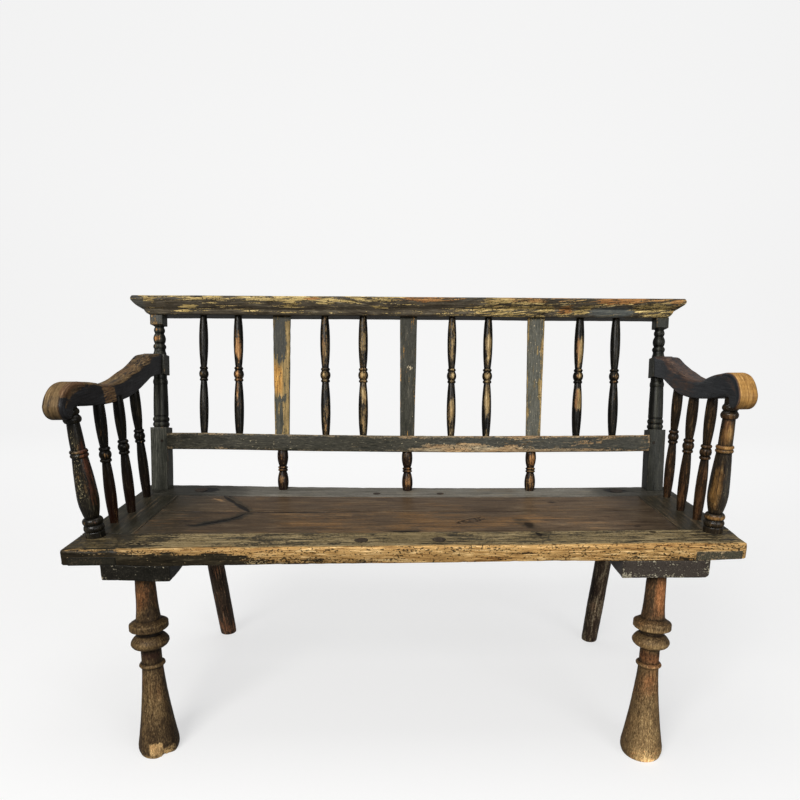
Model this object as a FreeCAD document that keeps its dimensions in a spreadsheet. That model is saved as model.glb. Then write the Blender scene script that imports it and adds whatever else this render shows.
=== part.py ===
import FreeCAD, Part
import math
import os

import Sketcher

# Deacons bench: plank seat on turned front legs and raked rear legs, low arms on
# turned posts, and a tall back of turned spindles and flat splats between a mid
# rail and a moulded crest rail.  Millimetres.  +Z up, +X to the
# right-hand end as seen from the front, +Y to the back.
# The floor is Z = 0 and the origin is the middle of the bounding box.

V = FreeCAD.Vector
doc = FreeCAD.newDocument("DeaconsBench")
sheet = doc.addObject("Spreadsheet::Sheet", "Sheet")


# ---------------------------------------------------------------- dimensions
class Q:
    """A length or angle: its value now, and the cell formula that drives it."""

    def __init__(self, value, formula):
        self.v = float(value)
        self.f = formula

    @staticmethod
    def of(other):
        return other if isinstance(other, Q) else Q(other, repr(float(other)))

    def __add__(self, o):
        o = Q.of(o)
        return Q(self.v + o.v, "(%s + %s)" % (self.f, o.f))

    def __radd__(self, o):
        return Q.of(o) + self

    def __sub__(self, o):
        o = Q.of(o)
        return Q(self.v - o.v, "(%s - %s)" % (self.f, o.f))

    def __rsub__(self, o):
        return Q.of(o) - self

    def __mul__(self, o):
        o = Q.of(o)
        return Q(self.v * o.v, "(%s * %s)" % (self.f, o.f))

    def __rmul__(self, o):
        return Q.of(o) * self

    def __truediv__(self, o):
        o = Q.of(o)
        return Q(self.v / o.v, "(%s / %s)" % (self.f, o.f))

    def __neg__(self):
        return Q(-self.v, "(0 - %s)" % self.f)


def sin(q):
    return Q(math.sin(math.radians(q.v)), "sin(%s)" % q.f)


def cos(q):
    return Q(math.cos(math.radians(q.v)), "cos(%s)" % q.f)


def tan(q):
    return Q(math.tan(math.radians(q.v)), "tan(%s)" % q.f)


D = {}
line_no = 0


def cell(alias, value, note=""):
    """One driving dimension in the sheet."""
    global line_no
    line_no += 1
    sheet.set("A%d" % line_no, alias)
    sheet.set("B%d" % line_no, str(value))
    sheet.setAlias("B%d" % line_no, alias)
    if note:
        sheet.set("C%d" % line_no, note)
    D[alias] = Q(value, "Sheet." + alias)
    return D[alias]


# seat
seat_w = cell("seat_width", 1290, "whole seat, end to end")
seat_d = cell("seat_depth", 419, "whole seat, front to back")
seat_h = cell("seat_height", 440, "top of the seat above the floor")
seat_t = cell("seat_thickness", 31, "seat frame thickness")
seat_y = cell("seat_shift", -35.45, "seat centre behind (+) the middle of the bounding box")
front_d = cell("front_rail_depth", 85)
back_d = cell("back_rail_depth", 83.5)
end_w = cell("end_rail_width", 97)
joint_y = cell("board_joint", 10, "joint between the two inner boards, from the seat centre")
board_t = cell("board_thickness", 27)
tongue_t = cell("tongue_thickness", 7)
tongue_d = cell("tongue_depth", 8)
tongue_z = cell("tongue_height", 12, "underside of the tongues above the seat underside")
tenon_w = cell("end_tenon_width", 85, "through tenon of an end rail")
tenon_t = cell("end_tenon_thickness", 16.5, "bare-faced, flush with the underside")
nosing_r = cell("front_arris_radius", 7, "worn front arris")
nosing_low_r = cell("front_lower_arris_radius", 3)
corner_r = cell("front_corner_radius", 9)
# battens under the seat ends
bat_l_w = cell("batten_left_width", 130)
bat_r_w = cell("batten_right_width", 167)
bat_l_t = cell("batten_left_thickness", 31)
bat_r_t = cell("batten_right_thickness", 35)
bat_l_x = cell("batten_left_outer", 580, "outer edge from the middle of the seat")
bat_r_x = cell("batten_right_outer", 577)
# back
lean = cell("back_lean", 13.17, "lean of the back from upright, degrees")
post_w = cell("post_width", 40)
post_d = cell("post_depth", 38)
post_x = cell("post_spacing", 608.5, "nominal post axis from the middle")
post_at = {
    "left": (cell("post_left_x", -608, "post axis at the seat"), cell("post_left_splay", -0.85)),
    "right": (cell("post_right_x", 605), cell("post_right_splay", 2.0)),
}
spin_v = cell("spindle_line", 17, "spindle axes behind the posts' front faces")
sh_s = cell("post_shoulder", 148, "top of the lower square, along the post")
blk_0 = cell("arm_block_start", 278)
blk_1 = cell("arm_block_end", 327)
blk_w = cell("arm_block_width", 36)
blk_d = cell("arm_block_depth", 33)
cap_0 = cell("cap_start", 399, "square cap under the crest rail")
cap_w = cell("cap_width", 31)
cap_d = cell("cap_depth", 32)
crest_0 = cell("crest_underside", 421.5, "along the posts")
crest_hh = cell("crest_depth_up", 39.2, "height of the crest rail, along the posts")
crest_out = cell("crest_overhang", 34, "moulding beyond the posts, front and ends")
crest_back = cell("crest_back_overhang", 3)
mid_0 = cell("mid_rail_underside", 95)
mid_1 = cell("mid_rail_top", 134)
mid_t = cell("mid_rail_thickness", 30)
stub_r = cell("spindle_tenon_radius", 5.5)
stub_l = cell("spindle_tenon_length", 15)
spl_top = cell("splat_top_width", 42)
spl_bot = cell("splat_bottom_width", 35)
spl_t = cell("splat_thickness", 10)
# foot of each upright from the middle of the bench, and its lean towards +X
sp_at = [
    (cell("spindle_place_%d" % (k + 1), x), cell("spindle_lean_%d" % (k + 1), a))
    for k, (x, a) in enumerate(
        (
            (-505.8, -0.14),
            (-419.5, -0.44),
            (-206.6, -0.52),
            (-114.4, -0.16),
            (102.3, 0.38),
            (189.1, 0.92),
            (412.8, 1.57),
            (502.6, 1.47),
        )
    )
]
spl_at = [
    (cell("splat_place_%d" % (k + 1), x), cell("splat_lean_%d" % (k + 1), a))
    for k, (x, a) in enumerate(((-314, -0.14), (-5.9, 0.56), (305.8, 1.14)))
]
low_at = [
    (cell("lower_spindle_place_%d" % (k + 1), x), cell("lower_spindle_lean_%d" % (k + 1), a))
    for k, (x, a) in enumerate(((-311.8, -0.8), (-5, -0.6), (298.5, 1.8)))
]
# arms
arm_t = cell("arm_thickness", 44)
arm_at = {
    # middle of the rear end from the middle of the bench, then turn about the
    # upright (plus is front end to +X) and dip of the front end, degrees
    "left": (cell("arm_left_x", -623.5), cell("arm_left_turn", -1.3), cell("arm_left_dip", 0.7)),
    "right": (cell("arm_right_x", 621), cell("arm_right_turn", -1.35), cell("arm_right_dip", -0.35)),
}
aps_y = cell("arm_post_front", 136, "arm post ahead of the seat centre, at the seat")
aps_at = {
    # foot of the arm post and its outward splay, degrees
    "left": (cell("arm_post_left_x", -618), cell("arm_post_left_splay", -3.9)),
    "right": (cell("arm_post_right_x", 608.8), cell("arm_post_right_splay", 1.0)),
}
asp_at = {
    "left": [
        (cell("arm_spindle_left_x_%d" % (k + 1), x), cell("arm_spindle_left_splay_%d" % (k + 1), a))
        for k, (x, a) in enumerate(((-616.8, -0.75), (-609.1, -0.5), (-618.9, -0.9)))
    ],
    "right": [
        (cell("arm_spindle_right_x_%d" % (k + 1), x), cell("arm_spindle_right_splay_%d" % (k + 1), a))
        for k, (x, a) in enumerate(((610.7, 0.7), (602.8, 0.5), (614, 0.1)))
    ],
}
asp_y = [
    cell("arm_spindle_y_1", -57.5, "front arm spindle from the seat centre"),
    cell("arm_spindle_y_2", 9),
    cell("arm_spindle_y_3", 117),
]
asp_l = [
    cell("arm_spindle_top_1", 252.5, "underside of the arm above the seat"),
    cell("arm_spindle_top_2", 247.5),
    cell("arm_spindle_top_3", 258.5),
]
# legs: foot centre on the floor, then the lean of the leg's axis
leg = {
    "front_leg_left": (
        cell("front_left_foot_x", -507),
        cell("front_left_foot_y", -205),
        cell("front_left_splay", -1.56, "degrees, top towards +X"),
        cell("front_left_rake", -6.04, "degrees, minus is top towards the back"),
    ),
    "front_leg_right": (
        cell("front_right_foot_x", 479.4),
        cell("front_right_foot_y", -205),
        cell("front_right_splay", 2.27),
        cell("front_right_rake", -6.04),
    ),
    "rear_leg_left": (
        cell("rear_left_foot_x", -503),
        cell("rear_left_foot_y", 280),
        cell("rear_left_splay", -0.65),
        cell("rear_left_rake", 14.03),
    ),
    "rear_leg_right": (
        cell("rear_right_foot_x", 492.5),
        cell("rear_right_foot_y", 240),
        cell("rear_right_splay", 2.41),
        cell("rear_right_rake", 8.4),
    ),
}
front_tenon_r = cell("front_leg_tenon_radius", 14)
rear_tenon_r = cell("rear_leg_tenon_radius", 15)
# pegs, plugs and wedges
peg_r = cell("peg_radius", 3.5, "back and arm joints")
seat_peg_r = cell("seat_peg_radius", 4.5)
plug_r = cell("front_plug_radius", 17)
plug_small_r = cell("rear_plug_radius", 10)
plug_t = cell("plug_thickness", 12)


def table(name, rows):
    """A turned or sawn outline: one height and one radius cell for each point.
    A row that starts with "arc" holds the middle point of the arc between its
    neighbours."""
    out = []
    for i, row in enumerate(rows):
        kind = "arc" if row[0] == "arc" else "pt"
        a, b = row[-2], row[-1]
        qa = cell("%s_up_%02d" % (name, i + 1), a) if not isinstance(a, Q) else a
        qb = cell("%s_rad_%02d" % (name, i + 1), b) if not isinstance(b, Q) else b
        out.append((kind, qb, qa))
    return out


# tall back spindle, heights from the mid rail's top
SPINDLE = table(
    "spindle",
    [
        (0, 8.2),
        ("arc", 76, 10.7),
        (129, 7.9),
        (130, 9.6),
        ("arc", 132.5, 10.2),
        (135, 9.6),
        (136, 8.8),
        ("arc", 146.5, 11.4),
        (157, 8.8),
        (158, 9.6),
        ("arc", 160.5, 10.2),
        (163, 9.6),
        (164, 7.9),
        ("arc", 214, 10.7),
        (287.5, 8.2),
    ],
)
# short double-vase spindle, heights from the seat, along its own axis
LOWER = table(
    "lower",
    [
        (-13, 9.5),
        (0, 10.8),
        ("arc", 21, 13),
        (43.5, 8.4),
        (44.5, 10.4),
        ("arc", 46.7, 11.1),
        (49, 10.4),
        (49.7, 9.4),
        (50.7, 10.4),
        ("arc", 52.8, 11.1),
        (55, 10.4),
        (56, 8.4),
        ("arc", 78, 13),
        (95, 11.2),
    ],
)
# arm spindle, heights from the seat; the top end follows the arm
ARMSPIN = table(
    "armspin",
    [
        (0, 8.2),
        ("arc", 70, 11.1),
        (129.5, 8),
        (131, 10.4),
        ("arc", 133.5, 11.1),
        (136, 10.4),
        (137, 9.2),
        ("arc", 145.5, 11.9),
        (154, 9.2),
        (155, 10.4),
        ("arc", 157.5, 11.1),
        (160, 10.4),
        (161.5, 8),
        ("arc", 208, 11.2),
    ],
)
# arm post, heights from the seat, along its own axis
ARMPOST = table(
    "armpost",
    [
        (-1.6, 18.6),
        (10.5, 18.4),
        (12, 17),
        ("arc", 18.2, 19.2),
        (24, 17),
        (25.5, 16.8),
        ("arc", 31.5, 19),
        (37.5, 16.6),
        (39, 13),
        ("arc", 58, 17.5),
        (82, 19.5),
        ("arc", 112, 18.2),
        (160, 14.4),
        (161, 15.3),
        ("arc", 164.2, 16.6),
        (167.4, 15.2),
        (168.6, 15.2),
        ("arc", 171.8, 16.6),
        (175, 15.3),
        (176, 13.4),
        ("arc", 202, 12.9),
        (226.5, 11.9),
        (228, 14.4),
        ("arc", 234, 16.2),
        (240, 14.2),
        (243, 12.6),
        ("arc", 248.6, 15),
        (254, 12.6),
        (257.5, 12.2),
        (269, 12.6),
    ],
)
# front leg, heights from the floor, along its own axis
FRONTLEG = table(
    "frontleg",
    [
        (-6, 33.5),
        (2, 36.6),
        (7, 38.5),
        (12, 39.2),
        (22, 38.8),
        ("arc", 78, 29.4),
        (170, 20),
        (178, 19.6),
        (179, 21.8),
        ("arc", 182.5, 24.3),
        (186, 21.8),
        (187, 19.1),
        (211.5, 18.8),
        (213.5, 23),
        ("arc", 216.6, 30.2),
        (221, 34),
        ("arc", 224.8, 35),
        (229, 33.2),
        ("arc", 236, 27),
        (244, 23),
        (246.5, 21.8),
        (251.5, 21.8),
        (253.5, 28.6),
        (259, 35.5),
        (269.5, 35.5),
        (277.5, 22.6),
        ("arc", 298, 20.3),
        (330, 18.7),
        (388, 16.8),
    ],
)
# rear leg, heights from the floor
REARLEG = table(
    "rearleg",
    [
        (-8, 19.2),
        (30, 20.5),
        ("arc", 190, 21.0),
        (340, 19.6),
        (400, 17.6),
    ],
)
# back post: everything round, along the post from the seat
POST = table(
    "post",
    [
        (-29.5, 13),
        (12, 13),
        (140, 13),
        (148, 13),
        (148, 17),
        (150.5, 17.2),
        ("arc", 155.7, 19),
        (161, 17.2),
        (162.5, 16.9),
        ("arc", 168.2, 18.8),
        (174, 17),
        (176, 16.5),
        (178.5, 17.3),
        ("arc", 215, 16.9),
        (252, 15.9),
        (254, 15.9),
        ("arc", 260.5, 16.9),
        (267, 15.9),
        (269, 15.2),
        (278, 15.2),
        (278, 12),
        (327, 12),
        (327, 15.2),
        (331, 15),
        ("arc", 336, 13.4),
        (342, 13),
        ("arc", 347.8, 14.8),
        (353.5, 12.4),
        (355.3, 11.4),
        ("arc", 366.8, 14.1),
        (378.5, 11),
        (380.5, 10.4),
        ("arc", 387.8, 12.5),
        (394.6, 10.6),
        (399, 12.4),
        (399, 10),
        (443.5, 10),
    ],
)

doc.recompute()

# --------------------------------------------------------------------- tools
ZERO = Q(0, "0")
bodies, extras = [], []


def body(label):
    b = doc.addObject("PartDesign::Body", label)
    b.Label = label
    bodies.append(b)
    return b


def sketch(b, name, role, offset=None):
    sk = b.newObject("Sketcher::SketchObject", name)
    planes = [f for f in b.Origin.OriginFeatures if f.Role == role]
    sk.AttachmentSupport = [(planes[0], "")]
    sk.MapMode = "FlatFace"
    if offset is not None:
        offset = Q.of(offset)
        sk.AttachmentOffset = FreeCAD.Placement(V(0, 0, offset.v), FreeCAD.Rotation())
        sk.setExpression("AttachmentOffset.Base.z", offset.f)
    return sk


def tie(sk, geo, pos, x, y):
    """Hold one sketch point at (x, y) from the sketch's origin."""
    x, y = Q.of(x), Q.of(y)
    zx, zy = abs(x.v) < 1e-9, abs(y.v) < 1e-9
    if zx and zy:
        sk.addConstraint(Sketcher.Constraint("Coincident", geo, pos, -1, 1))
        return
    if zx:
        sk.addConstraint(Sketcher.Constraint("PointOnObject", geo, pos, -2))
    else:
        n = sk.addConstraint(Sketcher.Constraint("DistanceX", -1, 1, geo, pos, x.v))
        sk.setExpression("Constraints[%d]" % n, x.f)
    if zy:
        sk.addConstraint(Sketcher.Constraint("PointOnObject", geo, pos, -1))
    else:
        n = sk.addConstraint(Sketcher.Constraint("DistanceY", -1, 1, geo, pos, y.v))
        sk.setExpression("Constraints[%d]" % n, y.f)


def outline(sk, items):
    """A closed outline of ("pt", x, y) corners; ("arc", x, y) between two corners
    is a point that the arc between them goes through."""
    corners, mids = [], {}
    for kind, x, y in items:
        if kind == "pt":
            corners.append((Q.of(x), Q.of(y)))
        else:
            mids[len(corners) - 1] = (Q.of(x), Q.of(y))
    n = len(corners)
    ends, arcs = [], []
    for i in range(n):
        a = V(corners[i][0].v, corners[i][1].v, 0)
        c = V(corners[(i + 1) % n][0].v, corners[(i + 1) % n][1].v, 0)
        if i in mids:
            m = V(mids[i][0].v, mids[i][1].v, 0)
            g = sk.addGeometry(Part.Arc(a, m, c))
            arcs.append((g, mids[i]))
        else:
            g = sk.addGeometry(Part.LineSegment(a, c))
        first = 1 if (sk.getPoint(g, 1) - a).Length < 1e-6 else 2
        ends.append((g, first, 3 - first))
    for i in range(n):
        g, _, last = ends[i]
        g2, first2, _ = ends[(i + 1) % n]
        sk.addConstraint(Sketcher.Constraint("Coincident", g, last, g2, first2))
    for i in range(n):
        tie(sk, ends[i][0], ends[i][1], corners[i][0], corners[i][1])
    for g, (x, y) in arcs:
        p = sk.addGeometry(Part.Point(V(x.v, y.v, 0)), True)
        sk.addConstraint(Sketcher.Constraint("PointOnObject", p, 1, g))
        tie(sk, p, 1, x, y)


def circle(sk, x, y, r):
    x, y, r = Q.of(x), Q.of(y), Q.of(r)
    g = sk.addGeometry(Part.Circle(V(x.v, y.v, 0), V(0, 0, 1), r.v))
    tie(sk, g, 3, x, y)
    n = sk.addConstraint(Sketcher.Constraint("Radius", g, r.v))
    sk.setExpression("Constraints[%d]" % n, r.f)


def rect(sk, x0, y0, x1, y1):
    outline(sk, [("pt", x0, y0), ("pt", x1, y0), ("pt", x1, y1), ("pt", x0, y1)])


def pad(b, sk, length, symmetric=False, flip=False):
    p = b.newObject("PartDesign::Pad", sk.Name + "_pad")
    p.Profile = sk
    length = Q.of(length)
    p.Length = length.v
    p.setExpression("Length", length.f)
    if symmetric:
        p.SideType = "Symmetric"
    p.Reversed = flip
    return p


def pocket(b, sk, length):
    """A cut to both sides of its sketch; what it takes away is compared."""
    doc.recompute()
    before = b.Tip.Shape.Volume
    p = b.newObject("PartDesign::Pocket", sk.Name + "_cut")
    p.Profile = sk
    length = Q.of(length)
    p.Length = length.v
    p.setExpression("Length", length.f)
    p.SideType = "Symmetric"
    doc.recompute()
    if not p.Shape.Volume < before - 1:
        raise RuntimeError("%s takes nothing away" % p.Name)
    return p


def turn(b, name, rows, first=None, last=None):
    """A turned shape: the rows' outline, closed down the axis."""
    rows = list(rows)
    lo, hi = rows[0][2], rows[-1][2]
    sk = sketch(b, name, "XZ_Plane")
    outline(sk, [("pt", ZERO, lo)] + rows + [("pt", ZERO, hi)])
    r = b.newObject("PartDesign::Revolution", name + "_turned")
    r.Profile = sk
    r.ReferenceAxis = (sk, ["V_Axis"])
    r.Angle = 360
    return r


def place(obj, x, y, z, pitch=ZERO, roll=ZERO, yaw=ZERO):
    """Origin at (x, y, z); roll about X first, then pitch about Y, then yaw about
    Z, in degrees."""
    x, y, z, pitch, roll, yaw = [Q.of(q) for q in (x, y, z, pitch, roll, yaw)]
    obj.setExpression(
        "Placement",
        "placement(vector(%s; %s; %s); rotation(%s; %s; %s))"
        % (x.f, y.f, z.f, yaw.f, pitch.f, roll.f),
    )


# the back's own frame: origin where the posts' axes meet the seat's top,
# X across, V square to the back (minus is the front), S up the posts
back_y = seat_y + seat_d / 2 - post_d / (2 * cos(lean))
v_spin = spin_v - post_d / 2
front_v = -(post_d / 2)


def place_back(obj, x, v, s, pitch=ZERO):
    v, s = Q.of(v), Q.of(s)
    place(
        obj,
        x,
        back_y + v * cos(lean) + s * sin(lean),
        seat_h - v * sin(lean) + s * cos(lean),
        pitch=pitch,
        roll=-lean,
    )


def on_post(side, s):
    """X of a post's axis at s along it: the posts splay outward a little."""
    x, splay = post_at[side]
    return x + s * cos(lean) * sin(splay)


def fit(label, blank, cutters):
    """The finished piece: the blank less what its neighbours fill."""
    if len(cutters) == 1:
        tool = cutters[0]
    else:
        tool = doc.addObject("Part::MultiFuse", label + "_fits")
        tool.Shapes = cutters
        extras.append(tool)
    c = doc.addObject("Part::Cut", label)
    c.Label = label
    c.Base = blank
    c.Tool = tool
    return c


def box(label, x, y, z, dx, dy, dz, pitch=ZERO, roll=ZERO):
    o = doc.addObject("Part::Box", label)
    o.Label = label
    for prop, q in (("Length", dx), ("Width", dy), ("Height", dz)):
        q = Q.of(q)
        setattr(o, prop, q.v)
        o.setExpression(prop, q.f)
    place(o, x, y, z, pitch, roll)
    extras.append(o)
    return o


def rod(label, r, length):
    o = doc.addObject("Part::Cylinder", label)
    o.Label = label
    for prop, q in (("Radius", r), ("Height", length)):
        q = Q.of(q)
        setattr(o, prop, q.v)
        o.setExpression(prop, q.f)
    extras.append(o)
    return o


def group(label, members):
    g = doc.addObject("Part::Compound", label)
    g.Label = label
    g.Links = members
    return g


nodes = {}

# ----------------------------------------------------------- seat, as blanks
y_front = seat_y - seat_d / 2
y_back = seat_y + seat_d / 2
z_low = seat_h - seat_t
y_f1 = y_front + front_d
y_b1 = y_back - back_d
x_in = seat_w / 2 - end_w

# front rail: full width, its front arrises rounded by wear
b = body("seat_front_rail_blank")
sk = sketch(b, "front_rail_plan", "XY_Plane")
rect(sk, -(seat_w / 2), ZERO, seat_w / 2, front_d)
pad(b, sk, seat_t)
place(b, ZERO, y_front, z_low)
doc.recompute()


def edges_where(shape, test):
    return ["Edge%d" % (i + 1) for i, e in enumerate(shape.Edges) if test(e)]


def mid_of(e):
    return e.valueAt((e.FirstParameter + e.LastParameter) / 2)


def fillet(b, r, test):
    """Round the edges of the body's last feature that pass the test."""
    doc.recompute()
    tip = b.Tip
    inv = tip.Placement.inverse()
    f = b.newObject("PartDesign::Fillet", b.Name + "_round%d" % len(b.Group))
    f.Base = (tip, edges_where(tip.Shape, test))
    r = Q.of(r)
    f.Radius = r.v
    f.setExpression("Radius", r.f)
    doc.recompute()
    return f


fillet(b, corner_r, lambda e: abs(mid_of(e).y) < 0.01 and abs(mid_of(e).z - seat_t.v / 2) < 0.01)
fillet(
    b,
    nosing_r,
    lambda e: abs(mid_of(e).z - seat_t.v) < 0.01
    and mid_of(e).y < corner_r.v
    and abs(mid_of(e).y) < 0.01,
)
fillet(b, nosing_low_r, lambda e: abs(mid_of(e).z) < 0.01 and abs(mid_of(e).y) < 0.01)
seat_front_blank = b

# back rail
b = body("seat_back_rail_blank")
sk = sketch(b, "back_rail_plan", "XY_Plane")
rect(sk, -(seat_w / 2), ZERO, seat_w / 2, back_d)
pad(b, sk, seat_t)
place(b, ZERO, y_b1, z_low)
fillet(
    b,
    2.5,
    lambda e: abs(mid_of(e).x) > seat_w.v / 2 - 0.01 and abs(mid_of(e).y - back_d.v / 2) < 0.01 and mid_of(e).z > 1,
)
seat_back_blank = b

# end rails, with a bare-faced through tenon at each end
end_blank = {}
for side, sign in (("left", -1), ("right", 1)):
    b = body("seat_end_rail_%s_blank" % side)
    sk = sketch(b, "end_rail_%s_plan" % side, "XY_Plane")
    rect(sk, ZERO, front_d, end_w, seat_d - back_d)
    pad(b, sk, seat_t)
    fillet(
        b,
        2.5,
        lambda e, s=sign: abs(mid_of(e).x - (end_w.v if s > 0 else 0)) < 0.01 and abs(mid_of(e).z - seat_t.v) < 0.01,
    )
    sk = sketch(b, "end_rail_%s_tenon" % side, "XY_Plane")
    if sign > 0:
        rect(sk, ZERO, ZERO, tenon_w, seat_d)
        place(b, x_in, y_front, z_low)
    else:
        rect(sk, end_w - tenon_w, ZERO, end_w, seat_d)
        place(b, -(seat_w / 2), y_front, z_low)
    pad(b, sk, tenon_t)
    end_blank[side] = b

# inner boards, tongued into the frame, with a loose tongue between them
board_blank = {}
for name, y0, y1 in (
    ("front", y_f1 - y_front, joint_y + seat_d / 2),
    ("rear", joint_y + seat_d / 2, seat_d - back_d),
):
    b = body("seat_board_%s_blank" % name)
    sk = sketch(b, "board_%s_plan" % name, "XY_Plane", seat_t - board_t)
    rect(sk, -x_in, y0, x_in, y1)
    pad(b, sk, board_t)
    sk = sketch(b, "board_%s_tongue" % name, "XY_Plane", tongue_z)
    if name == "front":
        rect(sk, -(x_in + tongue_d), y0 - tongue_d, x_in + tongue_d, y1)
    else:
        rect(sk, -(x_in + tongue_d), y0, x_in + tongue_d, y1 + tongue_d)
    pad(b, sk, tongue_t)
    place(b, ZERO, y_front, z_low)
    board_blank[name] = b

spline = box(
    "seat_board_tongue",
    -(x_in - 3),
    seat_y + joint_y - tongue_d,
    z_low + tongue_z,
    2 * x_in - 6,
    2 * tongue_d,
    tongue_t,
)
nodes["seat_board_tongue"] = spline

# battens under the seat ends, front to back
batten_blank = {}
for side, w, t, x0 in (
    ("left", bat_l_w, bat_l_t, -bat_l_x),
    ("right", bat_r_w, bat_r_t, bat_r_x - bat_r_w),
):
    b = body("batten_%s_blank" % side)
    sk = sketch(b, "batten_%s_front" % side, "XZ_Plane")
    if side == "left":
        outline(
            sk,
            [
                ("pt", ZERO, t),
                ("pt", 3, 2),
                ("pt", 5, ZERO),
                ("pt", w, ZERO),
                ("pt", w, t),
            ],
        )
    else:
        outline(
            sk,
            [
                ("pt", ZERO, ZERO),
                ("pt", w - 8, ZERO),
                ("arc", w - 3.2, 2.6),
                ("pt", w - 1, 9),
                ("pt", w, t),
                ("pt", ZERO, t),
            ],
        )
    pad(b, sk, seat_d, flip=True)
    place(b, x0, y_front, z_low - t)
    batten_blank[side] = b

# ------------------------------------------------------------------ the back
post_blank = {}
for side, sign in (("left", -1), ("right", 1)):
    b = body("back_post_%s_blank" % side)
    sk = sketch(b, "post_%s_square" % side, "XY_Plane", -8)
    rect(sk, -(post_w / 2), -(post_d / 2), post_w / 2, post_d / 2)
    pad(b, sk, sh_s + 8)
    # the foot of the square is cut level, to stand flat on the seat
    sk = sketch(b, "post_%s_foot" % side, "YZ_Plane")
    outline(
        sk,
        [
            ("pt", -24, -12),
            ("pt", 24, -12),
            ("pt", 24, 24 * tan(lean)),
            ("pt", -24, -24 * tan(lean)),
        ],
    )
    pocket(b, sk, 60)
    turn(b, "post_%s_profile" % side, POST)
    sk = sketch(b, "post_%s_block" % side, "XY_Plane", blk_0)
    rect(sk, -(blk_w / 2), -(post_d / 2), blk_w / 2, blk_d - post_d / 2)
    pad(b, sk, blk_1 - blk_0)
    sk = sketch(b, "post_%s_cap" % side, "XY_Plane", cap_0)
    rect(sk, -(cap_w / 2), -(post_d / 2), cap_w / 2, cap_d - post_d / 2)
    pad(b, sk, crest_0 - cap_0 + 0.8)
    x, splay = post_at[side]
    place(b, x, back_y, seat_h - 0.7, pitch=splay, roll=-lean)
    post_blank[side] = b

# mid rail, tenoned into the posts, its face flush with theirs
b = body("mid_rail_blank")
sk = sketch(b, "mid_rail_front", "XY_Plane", mid_0)
rect(sk, on_post("left", 115) + post_w / 2 - 2, front_v, on_post("right", 115) - post_w / 2 + 2, front_v + mid_t)
pad(b, sk, mid_1 - mid_0)
sk = sketch(b, "mid_rail_tenons", "XY_Plane", mid_0 + 6)
rect(sk, -(post_x + 5), front_v + 10, post_x + 5, front_v + 22)
pad(b, sk, mid_1 - mid_0 - 12)
place_back(b, ZERO, ZERO, ZERO)
mid_blank = b

# crest rail: the moulded section along the front, then the same at the ends
MOULD = [
    ("pt", 0, 0),
    ("pt", 4.5, 1.4),
    ("arc", 9.8, 6.4),
    ("pt", 12, 12.2),
    ("pt", 14.2, 13.6),
    ("arc", 23.2, 17.2),
    ("pt", 31, 23.8),
    ("pt", 34, 28),
    ("arc", 33.8, 34.5),
    ("pt", 30.5, 39.2),
]
crest_half = post_x + post_w / 2 + crest_out
b = body("crest_rail_blank")
sk = sketch(b, "crest_section", "YZ_Plane")
items = []
for kind, e, up in MOULD:
    items.append((kind, front_v - Q.of(e) * (crest_out / 34), crest_0 + Q.of(up) * (crest_hh / 39.2)))
items += [
    ("pt", post_d / 2 + crest_back - 1.5, crest_0 + crest_hh),
    ("pt", post_d / 2 + crest_back, crest_0 + crest_hh - 1.5),
    ("pt", post_d / 2 + crest_back, crest_0 + 3),
    ("pt", post_d / 2, crest_0),
]
outline(sk, items)
pad(b, sk, 2 * crest_half, symmetric=True)
for sign, nm in ((-1, "left"), (1, "right")):
    sk = sketch(b, "crest_end_" + nm, "XZ_Plane")
    items = []
    for kind, e, up in MOULD:
        items.append(
            (
                kind,
                sign * (post_x + post_w / 2 + Q.of(e) * (crest_out / 34)),
                crest_0 + Q.of(up) * (crest_hh / 39.2),
            )
        )
    items += [
        ("pt", sign * (crest_half - 5), crest_0 + crest_hh + 6),
        ("pt", sign * (crest_half + 8), crest_0 + crest_hh + 6),
        ("pt", sign * (crest_half + 8), crest_0 - 6),
        ("pt", sign * (post_x + post_w / 2), crest_0 - 6),
    ]
    outline(sk, items)
    pocket(b, sk, 200)
place_back(b, ZERO, ZERO, ZERO)
crest_blank = b

# tall back spindles, one turning repeated
span = crest_0 - mid_1
spindles = []
for i, (x, tilt) in enumerate(sp_at):
    name = "back_spindle_%d" % (i + 1)
    b = body(name)
    rows = (
        [("pt", stub_r, -stub_l), ("pt", stub_r, ZERO)]
        + SPINDLE[:-1]
        + [("pt", SPINDLE[-1][1], span), ("pt", stub_r, span), ("pt", stub_r, span + stub_l)]
    )
    turn(b, "spindle_%d_profile" % (i + 1), rows)
    place_back(b, x, v_spin, mid_1, tilt)
    spindles.append(b)
    nodes[name] = b

# flat splats with stub tenons
splats = []
for i, (x, tilt) in enumerate(spl_at):
    name = "back_splat_%d" % (i + 1)
    b = body(name)
    sk = sketch(b, "splat_%d_face" % (i + 1), "XZ_Plane")
    outline(
        sk,
        [
            ("pt", -(spl_bot / 2 - 5), -10),
            ("pt", spl_bot / 2 - 5, -10),
            ("pt", spl_bot / 2 - 5, ZERO),
            ("pt", spl_bot / 2, ZERO),
            ("pt", spl_top / 2, span),
            ("pt", spl_top / 2 - 5, span),
            ("pt", spl_top / 2 - 5, span + 10),
            ("pt", -(spl_top / 2 - 5), span + 10),
            ("pt", -(spl_top / 2 - 5), span),
            ("pt", -(spl_top / 2), span),
            ("pt", -(spl_bot / 2), ZERO),
            ("pt", -(spl_bot / 2 - 5), ZERO),
        ],
    )
    pad(b, sk, spl_t, symmetric=True)
    place_back(b, x, v_spin, mid_1, tilt)
    splats.append(b)
    nodes[name] = b

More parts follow.
